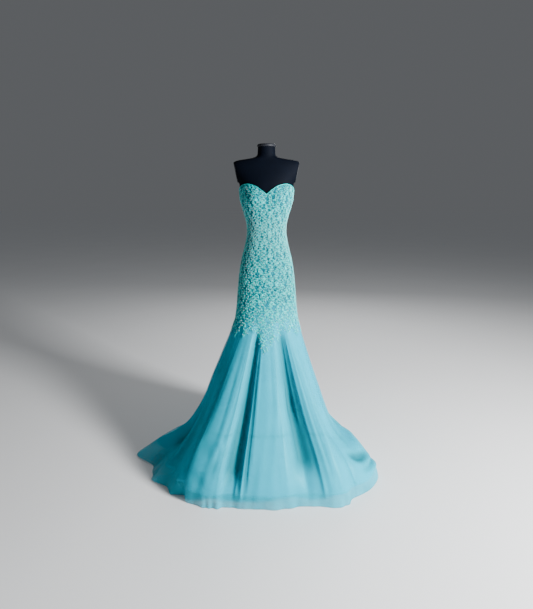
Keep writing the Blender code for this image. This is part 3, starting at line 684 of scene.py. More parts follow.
def repeated_mesh(name, shapes):
    """Join many copies of small shapes, given as (points of each copy, faces of one copy)."""
    points, faces, start = [], [], 0
    for copies, shape_faces in shapes:
        amount, size = copies.shape[0], copies.shape[1]
        offsets = start + np.arange(amount) * size
        points.append(copies.reshape(-1, 3))
        faces.append((shape_faces[None] + offsets[:, None, None]).reshape(-1, 3))
        start += amount * size
    points, faces = np.concatenate(points), np.concatenate(faces)
    mesh = bpy.data.meshes.new(name)
    mesh.vertices.add(len(points))
    mesh.vertices.foreach_set("co", points.ravel())
    mesh.loops.add(faces.size)
    mesh.loops.foreach_set("vertex_index", faces.ravel())
    mesh.polygons.add(len(faces))
    mesh.polygons.foreach_set("loop_start", np.arange(0, faces.size, 3))
    mesh.update(calc_edges=True)
    mesh.validate()
    mesh.shade_smooth()
    return mesh


# Materials

class Nodes:
    """Short ways to add and link shader nodes."""

    def __init__(self, tree):
        self.tree = tree

    def set(self, node, inputs):
        """Give inputs of a node their values, or link them to the sockets given."""
        for key, value in inputs.items():
            if isinstance(value, bpy.types.NodeSocket):
                self.tree.links.new(value, node.inputs[key])
            else:
                node.inputs[key].default_value = value

    def add(self, kind, inputs=None, **settings):
        node = self.tree.nodes.new(kind)
        for key, value in settings.items():
            setattr(node, key, value)
        self.set(node, inputs or {})
        return node

    def math(self, operation, first, second=0.0):
        return self.add("ShaderNodeMath", {0: first, 1: second}, operation=operation).outputs[0]

    def mix(self, share, first, second):
        """Mix two colours."""
        return self.add("ShaderNodeMix", {0: share, 6: first, 7: second}, data_type="RGBA").outputs[2]

    def between(self, value, low, high, start=0.0, end=1.0):
        """Turn a value that runs from start to end into one that runs from low to high."""
        return self.add("ShaderNodeMapRange", {"Value": value, "From Min": start, "From Max": end,
                                               "To Min": low, "To Max": high}).outputs[0]

    def grouped(self, name, **inputs):
        """Place a shared group and return its first output."""
        return self.add("ShaderNodeGroup", inputs, node_tree=bpy.data.node_groups[name]).outputs[0]

    def toned(self, place, scale, colour, darkest):
        """A colour that darkens softly over the cloth, and the tone that it follows."""
        tone = self.grouped("Cloth tone", Vector=place.outputs["Object"], Scale=scale)
        return self.mix(tone, shade(colour, darkest), shade(colour)), tone

    def bump(self, shader, height, strength, distance):
        bump = self.add("ShaderNodeBump", {"Height": height, "Strength": strength, "Distance": distance})
        self.set(shader, {"Normal": bump.outputs[0]})


def node_group(name, inputs, output):
    """A new shader node group with named sockets: its inner nodes, its start and its end."""
    tree = bpy.data.node_groups.new(name, "ShaderNodeTree")
    for label, kind, default in inputs:
        socket = tree.interface.new_socket(name=label, in_out="INPUT", socket_type=kind)
        if default is not None:
            socket.default_value = default
    tree.interface.new_socket(name=output, in_out="OUTPUT", socket_type="NodeSocketFloat")
    nodes = Nodes(tree)
    return nodes, nodes.add("NodeGroupInput"), nodes.add("NodeGroupOutput")


def weave_group():
    """Over and under threads of a woven or netted cloth, as a height."""
    nodes, start, end = node_group(
        "Weave", [("Vector", "NodeSocketVector", None), ("Threads", "NodeSocketFloat", 900.0)], "Height")
    split = nodes.add("ShaderNodeSeparateXYZ", {"Vector": start.outputs["Vector"]})
    threads = []
    for axis in "XY":
        turn = nodes.math("MULTIPLY", split.outputs[axis], start.outputs["Threads"])
        threads.append(nodes.math("ABSOLUTE", nodes.math("SINE", turn)))
    nodes.set(end, {"Height": nodes.math("MAXIMUM", *threads)})


def cloudy_group():
    """Soft uneven tone of cloth, from 0 to 1, by place on the object."""
    nodes, start, end = node_group(
        "Cloth tone", [("Vector", "NodeSocketVector", None), ("Scale", "NodeSocketFloat", 9.0)], "Tone")
    noise = nodes.add("ShaderNodeTexNoise", {"Vector": start.outputs["Vector"],
                                             "Scale": start.outputs["Scale"], "Detail": 4.0,
                                             "Roughness": 0.55})
    nodes.set(end, {"Tone": nodes.between(noise.outputs["Fac"], 0.0, 1.0, 0.3, 0.7)})


def new_material(name):
    """A new material: its nodes, its shader, its texture coordinates and itself."""
    material = bpy.data.materials.new(name)
    material.use_nodes = True
    nodes = Nodes(material.node_tree)
    return nodes, material.node_tree.nodes["Principled BSDF"], nodes.add("ShaderNodeTexCoord"), material


def shade(colour, amount=1.0):
    return tuple(channel * amount for channel in colour[:3]) + (1.0,)


# Painted shade of the skirt's troughs and flounce seam, read from the mesh
def painted_shade_tone(nodes):
    return nodes.add("ShaderNodeAttribute", attribute_name=PAINTED_SHADE_ATTRIBUTE).outputs["Fac"]


def satin_material(colours):
    """Duchess satin: smooth, with a soft gloss, a fine weave and painted shade in its troughs and seam."""
    nodes, shader, place, _ = new_material("Duchess satin")
    smooth, tone = nodes.toned(place, 7.0, colours.satin, 0.85)
    # Painted shade: the colour darkens to 0.3 of the satin in the troughs and along the flounce seam
    nodes.set(shader, {"Base Color": nodes.mix(painted_shade_tone(nodes), smooth, shade(colours.satin, 0.30)),
                       "Roughness": nodes.between(tone, 0.34, 0.42),
                       "Specular IOR Level": 0.9,
                       "Specular Tint": (0.25, 0.95, 1.0, 1.0)})
    weave = nodes.grouped("Weave", Vector=place.outputs["UV"], Threads=5200.0)
    nodes.bump(shader, weave, 0.12, 0.0002)


def tulle_material(colours):
    """Fine soft tulle: sheer, denser and darker with painted shade in its troughs, with its net as a bump.
    """
    nodes, shader, place, _ = new_material("Soft tulle")
    smooth, tone = nodes.toned(place, 5.0, colours.tulle, 0.90)
    # Painted shade in the troughs: it darkens the tulle's colour, and makes the tulle denser there too
    gather = painted_shade_tone(nodes)
    net = nodes.grouped("Weave", Vector=place.outputs["UV"], Threads=2400.0)
    cover = nodes.math("ADD", nodes.between(tone, 0.34, 0.46), nodes.math("MULTIPLY", gather, 0.20))
    threads = nodes.between(net, 0.85, 1.12, 0.5, 1.0)
    nodes.set(shader, {"Base Color": nodes.mix(gather, smooth, shade(colours.tulle, 0.38)),
                       "Alpha": nodes.math("MULTIPLY", cover, threads),
                       "Roughness": 0.6,
                       "Specular IOR Level": 0.25,
                       "Specular Tint": (0.2, 0.95, 1.0, 1.0)})
    nodes.bump(shader, net, 0.2, 0.0002)


def net_material(colours):
    """Lining under net, with a fine corded scroll between the leaves."""
    nodes, shader, place, _ = new_material("Corded net over lining")
    warp = nodes.add("ShaderNodeTexNoise", {"Vector": place.outputs["Object"], "Scale": 70.0, "Detail": 1.0})
    bend = nodes.add("ShaderNodeVectorMath", {0: warp.outputs["Color"], 1: (0.012, 0.012, 0.012)},
                     operation="MULTIPLY")
    bent = nodes.add("ShaderNodeVectorMath", {0: place.outputs["Object"], 1: bend.outputs[0]},
                     operation="ADD")
    cells = nodes.add("ShaderNodeTexVoronoi", {"Vector": bent.outputs[0], "Scale": 105.0},
                      feature="DISTANCE_TO_EDGE")
    cord = nodes.between(cells.outputs["Distance"], 1.0, 0.0, 0.05, 0.22)
    split = nodes.add("ShaderNodeSeparateXYZ", {"Vector": place.outputs["Object"]})
    low = nodes.between(split.outputs["Z"], 1.0, 0.0, KNEE_SEAM, 0.84)
    ground = nodes.mix(low, shade(colours.ground), shade(colours.satin))
    nodes.set(shader, {"Base Color": nodes.mix(cord, ground, shade(colours.lace)),
                       "Roughness": 0.5,
                       "Specular IOR Level": 0.2,
                       "Specular Tint": (0.2, 0.95, 1.0, 1.0)})
    nodes.bump(shader, cord, 0.7, 0.0009)


def leaf_material(colours):
    """Satin-stitched leaves and cords of the lace."""
    nodes, shader, place, _ = new_material("Stitched leaves")
    colour, tone = nodes.toned(place, 85.0, colours.leaf, 0.42)
    stitch = nodes.add("ShaderNodeTexWave", {"Vector": place.outputs["Object"], "Scale": 420.0,
                                             "Distortion": 2.0}, wave_type="BANDS")
    nodes.set(shader, {"Base Color": colour,
                       "Roughness": nodes.between(tone, 0.28, 0.45),
                       "Specular Tint": (0.35, 1.0, 1.0, 1.0)})
    nodes.bump(shader, stitch.outputs["Fac"], 0.25, 0.0003)


def bead_material(colours):
    """Small pearly glass beads."""
    nodes, shader, place, _ = new_material("Glass beads")
    colour, tone = nodes.toned(place, 160.0, colours.bead, 0.72)
    nodes.set(shader, {"Base Color": colour,
                       "Roughness": nodes.between(tone, 0.08, 0.22),
                       "Coat Weight": 0.6})


def jersey_material(colours):
    """Dark fine jersey over the form."""
    nodes, shader, place, _ = new_material("Form jersey")
    colour, _ = nodes.toned(place, 14.0, colours.form, 0.7)
    nodes.set(shader, {"Base Color": colour, "Roughness": 0.72, "Specular IOR Level": 0.06})
    knit = nodes.grouped("Weave", Vector=place.outputs["UV"], Threads=2600.0)
    nodes.bump(shader, knit, 0.25, 0.0003)


def coated_material(name, colour, roughness, metallic):
    """Lacquer, powder coat, tape or plated metal, with fine uneven gloss."""
    nodes, shader, place, _ = new_material(name)
    mixed, tone = nodes.toned(place, 45.0, colour, 0.85)
    nodes.set(shader, {"Base Color": mixed,
                       "Roughness": nodes.between(tone, roughness * 0.8, roughness * 1.2),
                       "Metallic": metallic})
    grain = nodes.add("ShaderNodeTexNoise", {"Vector": place.outputs["Object"], "Scale": 900.0})
    nodes.bump(shader, grain.outputs["Fac"], 0.15, 0.0001)


# Settings

def colour_property(name, description, default):
    return FloatVectorProperty(name=name, description=description, subtype="COLOR", size=3, min=0, max=1,
                               default=default)


class GownColours(PropertyGroup):
    """Colours of the gown and the form."""
    ground: colour_property("Lining", "Lining and net behind the lace", (0.0, 0.040, 0.065))
    lace: colour_property("Cord", "Corded scroll of the net", (0.0, 0.22, 0.27))
    leaf: colour_property("Leaves", "Stitched leaves of the lace", (0.0, 0.86, 0.86))
    bead: colour_property("Beads", "Glass beads", (0.80, 1.0, 1.0))
    tulle: colour_property("Tulle", "Sheer overskirt", (0.0, 0.60, 0.79))
    satin: colour_property("Satin", "Underskirt and flounce", (0.0, 0.46, 0.63))
    form: colour_property("Form", "Jersey over the dress form", (0.001, 0.0025, 0.007))


class GownSizes(PropertyGroup):
    """Sizes of the lace and of its beads."""
    vines: IntProperty(name="Vines", description="Vines of leaves round the gown", default=50, min=8)
    leaf_step: FloatProperty(name="Leaf step", description="Distance between leaves down a vine",
                             default=0.0124, min=0.004, max=0.05, unit="LENGTH")
    leaf_length: FloatProperty(name="Leaf length", description="Length of the leaves",
                               default=0.0175, min=0.005, max=0.04, unit="LENGTH")
    leaf_width: FloatProperty(name="Leaf width", description="Width of a leaf as a share of its length",
                              default=0.22, min=0.1, max=1.0, subtype="FACTOR")
    bead_radius: FloatProperty(name="Bead radius", description="Radius of the beads",
                               default=0.0019, min=0.0005, max=0.004, unit="LENGTH")
    seed: IntProperty(name="Seed", description="Order of the small differences between leaves",
                      default=7, min=0)


# Lace

# A step down a vine of the lace: where it is, which way the vine runs there, the side its leaf is on,
# and the size of its parts
Step = namedtuple("Step", "angle up heading side scale")

# Vines: how far down the skirt they reach in levels, their waves, and how much they differ
VINE_REACH = 1.80
VINE_SWAY = 0.0062
VINE_WAVE = 0.074
VINE_SPACING = 0.0175
VINE_SCALE_MOST = 1.15
VINE_TOP_MARGIN = 0.004
WAVE_SPREAD = (0.65, 1.45)
SWAY_SPREAD = (0.5, 1.6)
SIZE_SPREAD = (0.70, 1.30)
VINE_TURN = 0.60
VINE_SHIFT = 1.2

# Heights above the knee seam of the hips and of the highest point of the lace, and the body's radius
HIP_RISE = 0.28
BODICE_RISE = 0.74
MEAN_RADIUS = 0.15

# Leaves, leaflets, stems, tendrils, flowers and beads
LEAF_RISE = 0.0020
LEAF_LEAN = 48.0
LEAF_BEND = 0.24
LEAFLET_LEAN = 62.0
LEAFLET_LENGTH = 0.62
LEAFLET_WIDTH = 0.8 / LEAFLET_LENGTH
STEM_WIDTH = 0.0016
STEM_RISE = 0.0008
STEM_REACH = 1.25
LEAF_FOOT = 0.35
LEAF_DOME = 1.5
TENDRIL_RADIUS = 0.0062
TENDRIL_WIDTH = 0.0018
TENDRIL_TURN = 4.6
TENDRIL_CLOSE = 0.5
TENDRIL_EVERY = 5
FLOWER_EVERY = 13
PETALS = 5
PETAL_LENGTH = 0.5
PETAL_WIDTH = 0.62
PETAL_START = 0.3
BEAD_ASIDE = 0.0052


def even_angles(count):
    """Angles that stand evenly round the hips."""
    angles = np.linspace(-180, 180, 361)
    ring = lace_ground(angles, np.full(angles.shape, HIP_RISE))
    run = np.concatenate([[0], np.cumsum(np.linalg.norm(np.diff(ring, axis=0), axis=1))])
    return np.interp((np.arange(count) + 0.5) / count * run[-1], run, angles)


def girth_at(ups):
    """Length round the lace's ground at each height."""
    angles = np.linspace(-180, 180, 91)
    rings = lace_ground(angles[None], np.asarray(ups)[:, None])
    return np.linalg.norm(np.diff(rings, axis=1), axis=2).sum(axis=1)


def vine_steps(sizes):
    """Wavy vines that run down from the neckline, each a little different, as rows of steps."""
    chance = np.random.default_rng(sizes.seed)
    heights = np.linspace(-VINE_REACH * LEVEL_DROP, BODICE_RISE, 60)
    girths = girth_at(heights)
    steps = []
    for middle in even_angles(sizes.vines):
        middle += chance.uniform(-VINE_SHIFT, VINE_SHIFT)
        start = chance.uniform(0, VINE_WAVE)
        wave = VINE_WAVE * chance.uniform(*WAVE_SPREAD)
        reach = VINE_SWAY * chance.uniform(*SWAY_SPREAD)
        up = float(neckline(middle)) - KNEE_SEAM - VINE_TOP_MARGIN
        side = 1
        while up > -VINE_REACH * LEVEL_DROP:
            girth = float(np.interp(up, heights, girths))
            scale = min(girth / sizes.vines / VINE_SPACING, VINE_SCALE_MOST)
            phase = 2 * math.pi * (up + start) / wave
            sway = reach * scale * math.sin(phase)
            slope = reach * scale * 2 * math.pi / wave * math.cos(phase)
            heading = math.atan2(-slope, 1) + chance.uniform(-VINE_TURN, VINE_TURN)
            steps.append(Step(middle + 360 * sway / girth, up, heading, side,
                              scale * chance.uniform(*SIZE_SPREAD)))
            up -= sizes.leaf_step * scale
            side = -side
    return np.array(steps)


def within_lace(angle, up):
    """True where the lace reaches: under the neckline, inside its pointed lower edge and off the zip."""
    top = neckline(angle) - KNEE_SEAM
    bottom = -lace_edge(angle) * LEVEL_DROP
    off_zip = (np.abs(round_distance(angle, 180, 360)) > ZIP_CLEAR) | (KNEE_SEAM + up < ZIP_BOTTOM)
    return (up < top - LACE_TOP_MARGIN) & (up > bottom - LACE_END_MARGIN) & off_zip


def lay_on_ground(steps, x, y, rise):
    """Lay flat shapes on the lace's ground: offsets in metres from each step, and heights above it."""
    reach, top_gap = 0.002, 0.0005
    angle, up = steps[:, 0], steps[:, 1]
    metric = np.linalg.norm(lace_ground(angle + reach, up) - lace_ground(angle - reach, up), axis=-1)
    turned = angle[:, None] + x / (metric / (2 * reach))[:, None]
    height = np.minimum(up[:, None] + y, neckline(turned) - KNEE_SEAM - top_gap)
    flat_angle, flat_up = turned.ravel(), height.ravel()
    middle, out = surface_frame(lace_ground, flat_angle, flat_up, turn=-1)
    relief = np.where(flat_up > 0, sheath_relief(flat_angle, KNEE_SEAM + flat_up), 0.0)
    below = flat_up < 0
    if below.any():
        wrapped = round_distance(flat_angle[below], 0, 360)
        relief[below] = (BORDER_LIFT + BORDER_THICK
                         + skirt_relief(knee_place(wrapped), -flat_up[below] / LEVEL_DROP))
    points = middle + out * (relief + rise.ravel())[:, None]
    return points.reshape(x.shape + (3,))


def leaf_shape(bm):
    """A pointed leaf or a stem, one unit long from its foot and one wide, domed."""
    bmesh.ops.create_uvsphere(bm, u_segments=4, v_segments=4, radius=0.5)
    stand_on_foot(bm)


def tendril_shape(bm):
    bmesh.ops.create_uvsphere(bm, u_segments=4, v_segments=12, radius=0.5)
    stand_on_foot(bm)


def bead_shape(bm):
    bmesh.ops.create_icosphere(bm, subdivisions=1, radius=1.0)


def stand_on_foot(bm):
    """Turn a ball so that it runs from 0 to 1 along Y."""
    for vert in bm.verts:
        x, y, z = vert.co
        vert.co = (x, z + 0.5, y)


def leaf_copies(steps, verts, heading, length, width, bend):
    """Leaves at the steps: their way, length, share of width and bend to one side, a row for each."""
    share = verts[:, 1][None]
    along = share * length[:, None]
    wide = verts[:, 0][None] * (length * width)[:, None] - bend[:, None] * share ** 2 * length[:, None]
    cos, sin = np.cos(heading)[:, None], np.sin(heading)[:, None]
    x = wide * cos + along * sin
    y = wide * sin - along * cos
    rise = LEAF_RISE * (LEAF_FOOT + LEAF_DOME * verts[:, 2])[None] + 0 * x
    middle = steps[:, 1] + y.mean(axis=1)
    keep = within_lace(steps[:, 0] + np.degrees(x.mean(axis=1) / MEAN_RADIUS), middle)
    return lay_on_ground(steps[keep], x[keep], y[keep], rise[keep])


def tendril_copies(steps, verts):
    """Curled tendrils at the steps, which close up towards their ends."""
    share = verts[:, 1][None]
    curl = TENDRIL_TURN * share
    size = steps[:, 4][:, None] * TENDRIL_RADIUS
    reach = size * (1 - TENDRIL_CLOSE * share) + verts[:, 0][None] * TENDRIL_WIDTH
    x = -steps[:, 3][:, None] * (size - reach * np.cos(curl))
    y = -reach * np.sin(curl)
    rise = (verts[:, 2] * TENDRIL_WIDTH + STEM_RISE)[None] + 0 * x
    keep = within_lace(steps[:, 0], steps[:, 1] - LACE_END_MARGIN)
    return lay_on_ground(steps[keep], x[keep], y[keep], rise[keep])


def bead_copies(steps, verts, radius):
    """A bead beside each step, across the vine from its leaf."""
    steps = steps[within_lace(steps[:, 0], steps[:, 1])]
    aside = -steps[:, 3] * BEAD_ASIDE * steps[:, 4]
    x = aside[:, None] + verts[:, 0][None] * radius
    y = verts[:, 1][None] * radius + 0 * x
    rise = (verts[:, 2] * radius + STEM_RISE + radius / 2)[None] + 0 * x
    return lay_on_ground(steps, x, y, rise)


def lace_copies(sizes):
    """Points of every leaf, leaflet, petal, stem, tendril and bead, laid on the gown, by piece."""
    steps = vine_steps(sizes)
    heading, side, scale = steps[:, 2], steps[:, 3], steps[:, 4]
    number = np.arange(len(steps))
    leaf, leaf_faces = template(leaf_shape)
    tendril, tendril_faces = template(tendril_shape)
    bead, bead_faces = template(bead_shape)

    length = sizes.leaf_length * scale
    width = np.full(len(steps), sizes.leaf_width)
    lean = heading + side * math.radians(LEAF_LEAN)
    leaves = [(leaf_copies(steps, leaf, lean, length, width, side * LEAF_BEND), leaf_faces)]
    lean = heading - side * math.radians(LEAFLET_LEAN)
    leaflets = [(leaf_copies(steps, leaf, lean, LEAFLET_LENGTH * length, LEAFLET_WIDTH * width,
                             -side * LEAF_BEND), leaf_faces)]
    flowers = steps[number % FLOWER_EVERY == 0]
    for petal in range(PETALS):
        turn = np.full(len(flowers), 2 * math.pi * petal / PETALS + PETAL_START)
        petal_length = PETAL_LENGTH * sizes.leaf_length * flowers[:, 4]
        leaflets.append((leaf_copies(flowers, leaf, turn, petal_length, PETAL_WIDTH + 0 * turn, 0 * turn),
                         leaf_faces))
    stem = STEM_REACH * sizes.leaf_step * scale
    scrolls = [(leaf_copies(steps, leaf, heading, stem, STEM_WIDTH / stem, 0 * heading), leaf_faces),
               (tendril_copies(steps[number % TENDRIL_EVERY == 0], tendril), tendril_faces)]
    beads = [(bead_copies(steps, bead, sizes.bead_radius), bead_faces)]
    return {"leaves": leaves, "leaflets": leaflets, "scrolls": scrolls, "beads": beads}


# Pieces

# Plain finishes: name, colour, roughness and how metallic
COATINGS = (
    ("Form lacquer", (0.004, 0.006, 0.012), 0.62, 0.0),
    ("Stand steel", (0.020, 0.022, 0.026), 0.42, 0.7),
    ("Zip metal", (0.74, 0.76, 0.78), 0.28, 1.0),
    ("Zip tape", (0.04, 0.50, 0.60), 0.60, 0.0),
    # The seam cord's dark colour is painted shade along the flounce seam
    ("Seam cord", (0.0, 0.10, 0.17), 0.60, 0.0),
)


class GOWN_OT_materials(Operator):
    """Make the node groups and the cloth, bead, form and metal finishes"""
    bl_idname = "gown.materials"
    bl_label = "Make finishes"

    def execute(self, context):
        colours = context.scene.gown_colours
        weave_group()
        cloudy_group()
        satin_material(colours)
        tulle_material(colours)
        net_material(colours)
        leaf_material(colours)
        bead_material(colours)
        jersey_material(colours)
        for name, colour, roughness, metallic in COATINGS:
            coated_material(name, colour, roughness, metallic)
        return {"FINISHED"}


class GOWN_OT_sheath(Operator):
    """Build the panels of the sheath under the lace, and the roll round its top"""
    bl_idname = "gown.sheath"
    bl_label = "Build sheath"

    def execute(self, context):
        for panel in SHEATH_PANELS:
            def points(across, down, panel=panel):
                angle = panel.first + (panel.last - panel.first) * across
                top = neckline(angle)
                height = top + (KNEE_SEAM - top) * down
                middle, out = surface_frame(body, angle, height, turn=-1)
                return middle + out * sheath_relief(angle, height)[:, None]
            columns = round((panel.last - panel.first) / DEGREES_A_COLUMN)
            mesh = sheet_mesh("sheath_cloth_" + panel.name, columns, SHEATH_ROWS, points, *panel.flat)
            piece = add_piece(mesh, "Corded net over lining", "sheath_" + panel.name,
                              SHEATH_THICK)
        self.binding()
        return {"FINISHED"}

    def binding(self):
        """The narrow roll that finishes the top edge, open at the zip."""
        end = 178.0
        radius, tip, tip_run = 0.0023, 0.02, 400
        inward = SHEATH_THICK * 0.4

        def points(across, down):
            angle = -end + 2 * end * across
            edge, out = surface_frame(body, angle, neckline(angle), turn=-1)
            turn = 2 * math.pi * down[:, None]
            thick = radius * np.clip(np.minimum(across, 1 - across) * tip_run, tip, 1)
            up = np.array([0.0, 0.0, 1.0])
            return edge - out * inward + (out * np.cos(turn) + up * np.sin(turn)) * thick[:, None]
        mesh = sheet_mesh("neckline_roll", 360, 10, points, 0.85, 0.014)
        face_outwards(mesh, closed=True)
        add_piece(mesh, "Stitched leaves", "neckline_binding")


class GOWN_OT_lace(Operator):
    """Lay the vines of leaves and their beads over the sheath and the pointed edge"""
    bl_idname = "gown.lace"
    bl_label = "Build lace"

    def execute(self, context):
        sizes = context.scene.gown_sizes
        for part, copies in lace_copies(sizes).items():
            finish = "Glass beads" if part == "beads" else "Stitched leaves"
            add_piece(repeated_mesh("lace_" + part, copies), finish)
        return {"FINISHED"}


class GOWN_OT_border(Operator):
    """Build the net of the pointed lace edge that lies on the skirt"""
    bl_idname = "gown.border"
    bl_label = "Build lace edge"

    def execute(self, context):
        for gore in GORES:
            def points(across, down, gore=gore):
                place = gore.first + (gore.last - gore.first) * across
                level = lace_edge(folds_round("knee_angle", place)) * down
                return hung_points(place, level, np.full(place.shape, BORDER_LIFT + BORDER_THICK))
            columns = (gore.last - gore.first) * TULLE_COLUMNS
            mesh = sheet_mesh("lace_edge_" + gore.name, columns, BORDER_ROWS, points,
                              gore.edge.width, gore.edge.length)
            piece = add_piece(mesh, "Soft tulle", "lace_border_" + gore.name, BORDER_THICK)
        return {"FINISHED"}


def refinish(nodes, material):
    """Give a finish to solids that stay as they are."""
    for node in nodes:
        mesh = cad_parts[node].data
        mesh.materials.clear()
        mesh.materials.append(bpy.data.materials[material])


def skirt_layer(gore, kind, node, columns, rows, levels, lift, thickness, material):
    """One gore of a layer of the skirt, on the form of its solid."""
    first_level, last_level = levels
    cut = getattr(gore, kind)

    def spot(across, down):
        return (gore.first + (gore.last - gore.first) * across,
                first_level + (last_level - first_level) * down)

    def points(across, down):
        place, level = spot(across, down)
        cloth = hung_points(place, level, lift(place, level))
        cloth[:, 2] = np.maximum(cloth[:, 2], thickness + FLOOR_GAP)
        return cloth

    # Painted shade: darker in the deeper troughs, and on the satin along the flounce seam
    def gather(across, down):
        place, level = spot(across, down)
        trough = np.clip(-skirt_relief(place, level) / FULL_SHADE_DEPTH, 0, 1)
        seam = 0 if kind == "tulle" else np.exp(-((level - FLOUNCE_LEVEL) / SEAM_SHADE) ** 2)
        return np.maximum(trough, seam)
    across = (gore.last - gore.first) * columns
    down = round((last_level - first_level) * rows)
    mesh = sheet_mesh(kind + "_skirt_" + gore.name, across, down, points, cut.width, cut.length, gather)
    piece = add_piece(mesh, material, node + gore.name, thickness)


class GOWN_OT_satin(Operator):
    """Build the satin underskirt and its flounce"""
    bl_idname = "gown.satin"
    bl_label = "Build satin"

    def execute(self, context):
        def depth(place, level):
            seam = SEAM_RISE * np.exp(-((level - FLOUNCE_LEVEL) / SEAM_HALF_LEVEL) ** 2)
            return -(SATIN_TUCK + (SATIN_DEPTH - SATIN_TUCK) * ease(level)) + seam

        def gathered(place, level):
            below = ease((level - FLOUNCE_LEVEL) / FLOUNCE_LEAD)
            above = ease((FLOUNCE_FLAT_LEVEL - level) / FLOUNCE_FADE)
            return depth(place, level) + FLOUNCE_RISE * drifting(place, FLOUNCE_WAVE) * below * above
        for gore in GORES:
            skirt_layer(gore, "satin", "satin_", SATIN_COLUMNS, SATIN_ROWS, (0.0, FLOUNCE_LEVEL), depth,
                        SATIN_THICK, "Duchess satin")
            skirt_layer(gore, "flounce", "flounce_", SATIN_COLUMNS, SATIN_ROWS,
                        (FLOUNCE_LEVEL, SATIN_HEM_LEVEL), gathered, SATIN_THICK, "Duchess satin")
        return {"FINISHED"}


class GOWN_OT_flounce_seam(Operator):
    """Build the corded seam that joins the flounce, which shows through the tulle, dark with painted shade
    """
    bl_idname = "gown.flounce_seam"
    bl_label = "Build flounce seam"

    def execute(self, context):
        below = 0.05

        def points(across, down):
            place = FOLD_COUNT * across
            level = np.full(place.shape, FLOUNCE_LEVEL)
            middle = hung_points(place, level, -CORD_DEPTH)
            outer = hung_points(place, level, CORD_RADIUS - CORD_DEPTH)
            along = hung_points(place, level + below, -CORD_DEPTH) - middle
            along /= np.linalg.norm(along, axis=-1, keepdims=True)
            turn = 2 * math.pi * down[:, None]
            return middle + (outer - middle) * np.cos(turn) + along * CORD_RADIUS * np.sin(turn)
        mesh = sheet_mesh("flounce_seam", FOLD_COUNT * SATIN_COLUMNS, 8, points, 3.0, 0.012)
        face_outwards(mesh, closed=True)
        add_piece(mesh, "Seam cord")
        return {"FINISHED"}


class GOWN_OT_tulle(Operator):
    """Build the tulle overskirt with its train"""
    bl_idname = "gown.tulle"
    bl_label = "Build tulle"

    def execute(self, context):
        for gore in GORES:
            skirt_layer(gore, "tulle", "tulle_", TULLE_COLUMNS, TULLE_ROWS, (0.0, HEM_LEVEL),
                        lambda place, level: 0 * place, TULLE_THICK, "Soft tulle")
        return {"FINISHED"}


class GOWN_OT_zip(Operator):
    """Build the folded tape of the back zip and finish its slider and pull"""
    bl_idname = "gown.zip"
    bl_label = "Build back zip"

    def execute(self, context):
        half, welt_rise, foot_rise = 0.0036, 0.0013, 0.0014
        top = float(neckline(180.0))
        flat = (0.0105, top - ZIP_BOTTOM)

        def points(across, down):
            height = top + (ZIP_BOTTOM - top) * down
            offset = half * (1 - 2 * across)
            wide = smooth_through(column_of(SECTIONS, "height"), column_of(SECTIONS, "half_width"), height)
            angle = 180 - np.degrees(np.arcsin(offset / wide))
            middle, out = surface_frame(body, angle, height, turn=-1)
            crown = foot_rise + welt_rise * np.abs(np.sin(2 * math.pi * across)) ** 0.5
            return middle + out * crown[:, None]
        mesh = sheet_mesh("zip_tape_cloth", 24, 90, points, *flat)
        face_outwards(mesh)
        piece = add_piece(mesh, "Zip tape", "back_zip", ZIP_TAPE_THICK)
        refinish(("zip_slider", "zip_pull"), "Zip metal")
        return {"FINISHED"}


class GOWN_OT_form(Operator):
    """Build the smooth torso of the dress form and finish its plates, cap and stand"""
    bl_idname = "gown.form"
    bl_label = "Build dress form"

    def execute(self, context):
        rise = PLATE_HEAD - PLATE_FOOT
        outward = np.array([rise.z, 0, -rise.x]) / math.hypot(rise.x, rise.z)

        def points(across, down):
            angle = -180 + 360 * across
            height = NECK_TOP + (FORM_BOTTOM - NECK_TOP) * down
            middle, out = surface_frame(form_body, angle, height, turn=-1)
            cloth = middle - out * FORM_DEPTH
            cloth[:, 2] = height
            for side in (-1, 1):
                normal = outward * (side, 1, 1)
                foot = np.array(PLATE_FOOT) * (side, 1, 1)
                past = (cloth - foot) @ normal
                past = np.where(height > PLATE_START, np.maximum(past, 0), 0)
                cloth = cloth - past[:, None] * normal
            return cloth
        mesh = sheet_mesh("form_shell", FORM_COLUMNS, FORM_ROWS, points, 0.8, 0.77)
        face_outwards(mesh, closed=True)
        mesh.set_sharp_from_angle(angle=math.radians(50))
        add_piece(mesh, "Form jersey", "form_torso")
        for node in ("form_arm_plate_left", "form_arm_plate_right", "form_neck_cap"):
            self.softened(node)
        refinish(("stand_base", "stand_foot_collar", "stand_pole", "stand_head_collar"), "Stand steel")
        return {"FINISHED"}

    def softened(self, node):
        """A plate or cap on its solid's form, a plate with its edges rounded."""
        bm = bmesh.new()
        bm.from_mesh(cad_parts[node].data)
        bmesh.ops.remove_doubles(bm, verts=bm.verts[:], dist=WELD)
        bmesh.ops.dissolve_limit(bm, angle_limit=math.radians(1), verts=bm.verts[:], edges=bm.edges[:])
        if "plate" in node:
            rims = [edge for edge in bm.edges if edge.calc_face_angle(0) > math.radians(60)]
            bmesh.ops.bevel(bm, geom=rims, offset=PLATE_EDGE, segments=3, profile=0.5, affect="EDGES",
                            material=-1)
        mesh = bpy.data.meshes.new(node + "_finished")
        bm.to_mesh(mesh)
        bm.free()
        mesh.shade_smooth()
        mesh.set_sharp_from_angle(angle=math.radians(40))
        add_piece(mesh, "Form lacquer", node)


